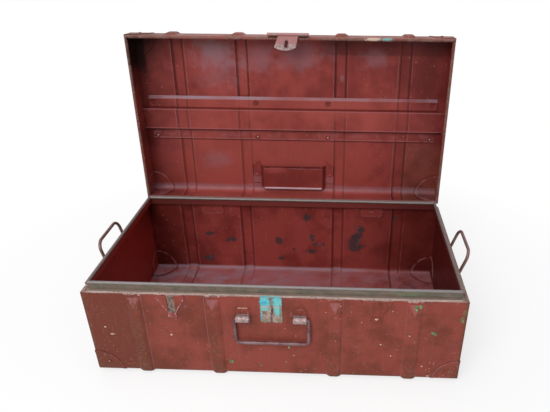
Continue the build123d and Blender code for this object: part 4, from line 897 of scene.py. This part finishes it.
class TRUNK_OT_lock(bpy.types.Operator):
    """Paints and wears the lock plate, its staple, the catch plate and the hasp"""

    bl_idname = "trunk.lock"
    bl_label = "Finish the lock"

    def execute(self, context):
        metal, enamel = context.scene.trunk.metal, context.scene.trunk.enamel
        self.finish_lock(metal, enamel)
        staple = worn_steel("staple_metal", enamel.chip, metal.steel_dull, metal=0.1)
        staple.done("staple")
        self.finish_catch(metal, enamel)
        self.finish_hasp(metal, enamel)
        return {"FINISHED"}

    def finish_lock(self, metal, enamel):
        """Turquoise paint over tan metal: whole at the top, flaked below, stained round the staple."""
        f = worn_steel("lock_paint", metal.tan, metal.steel_dull, rough=0.5, metal=0.1, size=5.0)
        blots = f.noise(3.4, detail=3.0, rough=0.7, seed=26.0)
        f.lay(blots.from_to(0.52, 0.62) * 0.6, colour=metal.ledge[:])
        for x, z, wide, high, coat, share in lock_patches:
            patch = f.spot(lock_x + x, lock_face, z, wide, through, high, 0.45)
            f.lay(patch * share, colour=getattr(metal, coat)[:], rough=0.5, metal=0.0, rise=0.1)
        upper = f.z.from_to(149.5, 151.0)
        middle = (f.x - lock_x).near(0.5, 2.5, 3.0)
        f.lay(upper * (1 - middle) * blots.from_to(0.56, 0.66) * 0.5, colour=metal.moss[:])
        f.lay(upper * middle * blots.from_to(0.42, 0.56) * 0.9, colour=metal.collar_green[:])
        fold = f.z.near(148.9, 0.5, 0.7) * (f.x - lock_x).near(0.0, 13.0, 2.0)
        f.lay(fold * 0.75, colour=metal.ledge[:])
        outline = abs(f.x - lock_x).from_to(15.2, 17.0).most(f.z.from_to(119.5, 117.5))
        f.lay(outline * blots.from_to(0.4, 0.56) * 0.9, colour=enamel.outside_dull[:])
        for x, z, wide, ragged in ((lock_x + 0.4, 142.0, 3.4, 0.45), (lock_x, 124.0, 1.7, 0.4)):
            stained = f.spot(x, lock_face, z, wide, through, 9.0, ragged)
            f.lay(stained * 0.85, colour=metal.stain[:], rough=0.6)
        f.done("lock_plate")

    def finish_catch(self, metal, enamel):
        """The left catch plate: pale chips along its outline and a bare greenish strip."""
        f = red_enamel("catch_enamel", False, enamel)
        offset = abs(f.x - catch_x)
        strip = offset.near(0.0, 5.0, 1.5) * f.z.from_to(130.0, 134.0)
        f.lay(strip, colour=metal.collar[:], rough=0.55, metal=0.2)
        patch = f.noise(4.5, detail=3.0, seed=21.0)
        f.lay(strip * patch.from_to(0.5, 0.6) * 0.8, colour=metal.ledge_dull[:])
        f.lay(strip * patch.from_to(0.47, 0.4) * 0.8, colour=metal.stain[:])
        slope = offset - (f.z - 132.5) * 0.6
        tip = f.z.near(127.0, 3.0, 2.0) * offset.from_to(9.0, 7.0)
        outline = slope.near(7.0, 1.6, 1.6).most(tip) * (1 - strip)
        f.lay(outline * f.crumble.from_to(0.4, 0.52) * 0.8, colour=enamel.bloom_and_highlight[:])
        f.lay(outline * f.crumble.from_to(0.54, 0.6) * 0.8, colour=metal.steel[:])
        f.lay(outline * f.crumble.from_to(0.4, 0.34) * 0.6, colour=enamel.rust[:])
        f.done("catch_plate_left")

    def finish_hasp(self, metal, enamel):
        """Thin red paint over bare steel, rubbed off towards the flap's free end."""
        f = worn_steel("hasp_steel", metal.steel, metal.steel_dull, on_lid=True, metal=0.15, rough=0.5)
        f.lay(f.crumble.from_to(0.55, 0.7) * 0.5, colour=metal.steel_dull[:])
        worn = (f.y + (f.noise(9.0, detail=3.0, seed=22.0) - 0.5) * 12.0).from_to(-147.0, -151.0)
        f.lay(worn * 0.85, colour=metal.hasp_red[:], rough=0.5, metal=0.0)
        slot = f.spot(lock_x, -148.7, 160.0, 4.6, 8.4, through, 0.3)
        f.lay(slot * 0.6, colour=metal.stain[:], rough=0.6)
        f.done("hasp_flap")
        red, dull = metal.hasp_red, metal.steel_dull
        leaf = worn_steel("hasp_leaf_paint", red, dull, on_lid=True, metal=0.1, size=8.0)
        leaf.done("hasp_leaf", "hasp_pin")


class TRUNK_OT_handles(bpy.types.Operator):
    """Gives the handles and their lugs worn steel"""

    bl_idname = "trunk.handles"
    bl_label = "Finish the handles"

    def execute(self, context):
        metal, enamel = context.scene.trunk.metal, context.scene.trunk.enamel
        front = ("front_lug_left", "front_lug_right")
        self.finish_lugs("front_lug_metal", front_pivot, metal, enamel, front)
        sides = ("left_lug_front", "left_lug_back", "right_lug_front", "right_lug_back")
        self.finish_lugs("side_lug_metal", side_pivot, metal, enamel, sides)
        wire = Finish("handle_wire", rough=0.42, metal=0.1)
        runs = wire.noise(22.0, detail=3.0, rough=0.6, seed=27.0)
        wire.colour = wire.mix(runs.from_to(0.4, 0.62), metal.wire[:], metal.wire_worn[:])
        wire.lay(abs(wire.x).from_to(290.0, 305.0) * 0.55, colour=metal.rim[:])
        wire.lay(wire.crumble.from_to(0.6, 0.7) * 0.3, colour=metal.steel_dull[:])
        wire.raise_by((runs - 0.5) * 0.3)
        bails = ("front_handle", "side_handle_left", "side_handle_right")
        wire.done(*bails, "hinge_pin_left", "hinge_pin_right")
        return {"FINISHED"}

    def finish_lugs(self, name, pivot, metal, enamel, nodes):
        """Enamelled tabs whose tubes are rubbed bare, with the paint chipped along the tabs' tops."""
        f = red_enamel(name, False, enamel)
        ragged = (f.crumble - 0.5) * 4.0
        bare = (f.z + ragged).from_to(pivot + 7.0, pivot + 5.5)
        clouds = f.noise(5.0, detail=4.0, rough=0.7, seed=23.0)
        steel = f.mix(clouds.from_to(0.4, 0.6), metal.steel_dull[:], metal.steel[:])
        f.lay(bare, colour=steel, rough=0.5, metal=0.25)
        chipped = (f.z + ragged * 0.5).from_to(pivot + 16.6, pivot + 17.4) * f.crumble.from_to(0.38, 0.5)
        f.lay(chipped * 0.7, colour=enamel.bloom_and_highlight[:], rough=0.6)
        f.lay(chipped * f.cloud.from_to(0.5, 0.6) * 0.6, colour=enamel.chip[:], rough=0.6)
        f.done(*nodes)


class TRUNK_OT_stage(bpy.types.Operator):
    """Sets up the floor, the light and the camera"""

    bl_idname = "trunk.stage"
    bl_label = "Set the stage"

    def execute(self, context):
        settings = context.scene.trunk.stage
        self.lay_floor(settings)
        self.light(context.scene, settings)
        self.place_camera(context.scene)
        return {"FINISHED"}

    def lay_floor(self, settings):
        """A wide floor, white to the eye, on which only the shadow near the trunk shows."""
        half = 6.0
        corners = [(-half, -half, 0.0), (half, -half, 0.0), (half, half, 0.0), (-half, half, 0.0)]
        mesh = bpy.data.meshes.new("floor")
        mesh.from_pydata(corners, [], [(0, 1, 2, 3)])
        floor = bpy.data.objects.new("floor", mesh)
        bpy.context.scene.collection.objects.link(floor)
        material = bpy.data.materials.new("floor_white")
        material.use_nodes = True
        nodes, links = material.node_tree.nodes, material.node_tree.links
        shader = next(n for n in nodes if n.type == "BSDF_PRINCIPLED")
        output = next(n for n in nodes if n.type == "OUTPUT_MATERIAL")
        shader.inputs["Base Color"].default_value = (*settings.floor, 1.0)
        shader.inputs["Roughness"].default_value = 0.9
        kinds = ("Emission", "MixShader", "TexCoord", "VectorMath", "MapRange", "Math")
        glow, blend, where, reach, fade, share = [nodes.new("ShaderNode" + kind) for kind in kinds]
        reach.operation = "LENGTH"
        fade.inputs["From Min"].default_value = 0.35
        fade.inputs["From Max"].default_value = 0.8
        fade.inputs["To Min"].default_value = 1.0 - settings.shadow
        share.operation = "MULTIPLY"
        links.new(where.outputs["Object"], reach.inputs[0])
        links.new(reach.outputs["Value"], fade.inputs["Value"])
        links.new(fade.outputs[0], share.inputs[1])
        links.new(seen_ray(nodes, links), share.inputs[0])
        links.new(share.outputs[0], blend.inputs[0])
        links.new(shader.outputs[0], blend.inputs[1])
        links.new(glow.outputs[0], blend.inputs[2])
        links.new(blend.outputs[0], output.inputs[0])
        mesh.materials.append(material)

    def light(self, scene, settings):
        """Even white air, seen as pure white, a wide soft lamp in front and a weaker one overhead."""
        world = bpy.data.worlds.new("studio_air")
        world.use_nodes = True
        scene.world = world
        nodes, links = world.node_tree.nodes, world.node_tree.links
        air = next(n for n in nodes if n.type == "BACKGROUND")
        air.inputs["Color"].default_value = (1.0, 1.0, 1.0, 1.0)
        level = nodes.new("ShaderNodeMapRange")
        level.inputs["To Min"].default_value = settings.sky
        level.inputs["To Max"].default_value = 1.0
        links.new(seen_ray(nodes, links), level.inputs["Value"])
        links.new(level.outputs[0], air.inputs["Strength"])
        self.lamp(scene, "key_light", (-0.55, -1.75, 1.7), settings.key_power, settings.key_size)
        self.lamp(scene, "top_light", (-0.25, -0.1, 2.1), settings.top_power, settings.key_size)

    def lamp(self, scene, name, place, power, wide):
        """A square soft lamp that looks at the trunk's middle."""
        lamp = bpy.data.lights.new(name, "AREA")
        lamp.shape = "SQUARE"
        lamp.size = wide
        lamp.energy = power
        piece = bpy.data.objects.new(name, lamp)
        scene.collection.objects.link(piece)
        piece.location = place
        aim = Vector((0.0, 0.05, 0.2)) - piece.location
        piece.rotation_euler = aim.to_track_quat("-Z", "Y").to_euler()

    def place_camera(self, scene):
        """The camera at its measured place, looking down on the trunk's front."""
        sight = Vector(
            (
                math.sin(camera_yaw) * math.cos(camera_pitch),
                math.cos(camera_yaw) * math.cos(camera_pitch),
                -math.sin(camera_pitch),
            )
        )
        level = Vector((math.cos(camera_yaw), -math.sin(camera_yaw), 0.0))
        upright = level.cross(sight)
        c, s = math.cos(camera_roll), math.sin(camera_roll)
        across, up = c * level + s * upright, c * upright - s * level
        data = bpy.data.cameras.new("camera")
        data.sensor_width = sensor_width
        data.lens = focal_pixels / picture_wide * sensor_width
        data.shift_x = (picture_wide / 2 - middle_pixel[0]) / picture_wide
        data.shift_y = (middle_pixel[1] - picture_high / 2) / picture_wide
        camera = bpy.data.objects.new("camera", data)
        scene.collection.objects.link(camera)
        turn = Matrix((across, up, -sight)).transposed().to_4x4()
        camera.matrix_world = Matrix.Translation(camera_place) @ turn
        scene.camera = camera
        scene.view_settings.view_transform = "Standard"


class TRUNK_PT_panel(bpy.types.Panel):
    """The trunk's settings and operators"""

    bl_idname = "TRUNK_PT_panel"
    bl_label = "Tin trunk"
    bl_space_type = "VIEW_3D"
    bl_region_type = "UI"
    bl_category = "Trunk"

    def draw(self, context):
        settings = context.scene.trunk
        for operator in OPERATORS:
            self.layout.operator(operator.bl_idname)
        for group in (settings.enamel, settings.metal, settings.stage):
            box = self.layout.box()
            for name in group.bl_rna.properties.keys():
                if name not in ("rna_type", "name"):
                    box.prop(group, name)


OPERATORS = (
    TRUNK_OT_base,
    TRUNK_OT_lid,
    TRUNK_OT_collar,
    TRUNK_OT_lock,
    TRUNK_OT_handles,
    TRUNK_OT_stage,
)
CLASSES = (TrunkEnamel, TrunkMetal, TrunkStage, TrunkSettings, *OPERATORS, TRUNK_PT_panel)


def register():
    for made in CLASSES:
        bpy.utils.register_class(made)
    bpy.types.Scene.trunk = PointerProperty(type=TrunkSettings)


def unregister():
    del bpy.types.Scene.trunk
    for made in reversed(CLASSES):
        bpy.utils.unregister_class(made)


def main():
    register()
    bpy.ops.trunk.base()
    bpy.ops.trunk.lid()
    bpy.ops.trunk.collar()
    bpy.ops.trunk.lock()
    bpy.ops.trunk.handles()
    bpy.ops.trunk.stage()


if __name__ == "__main__":
    main()
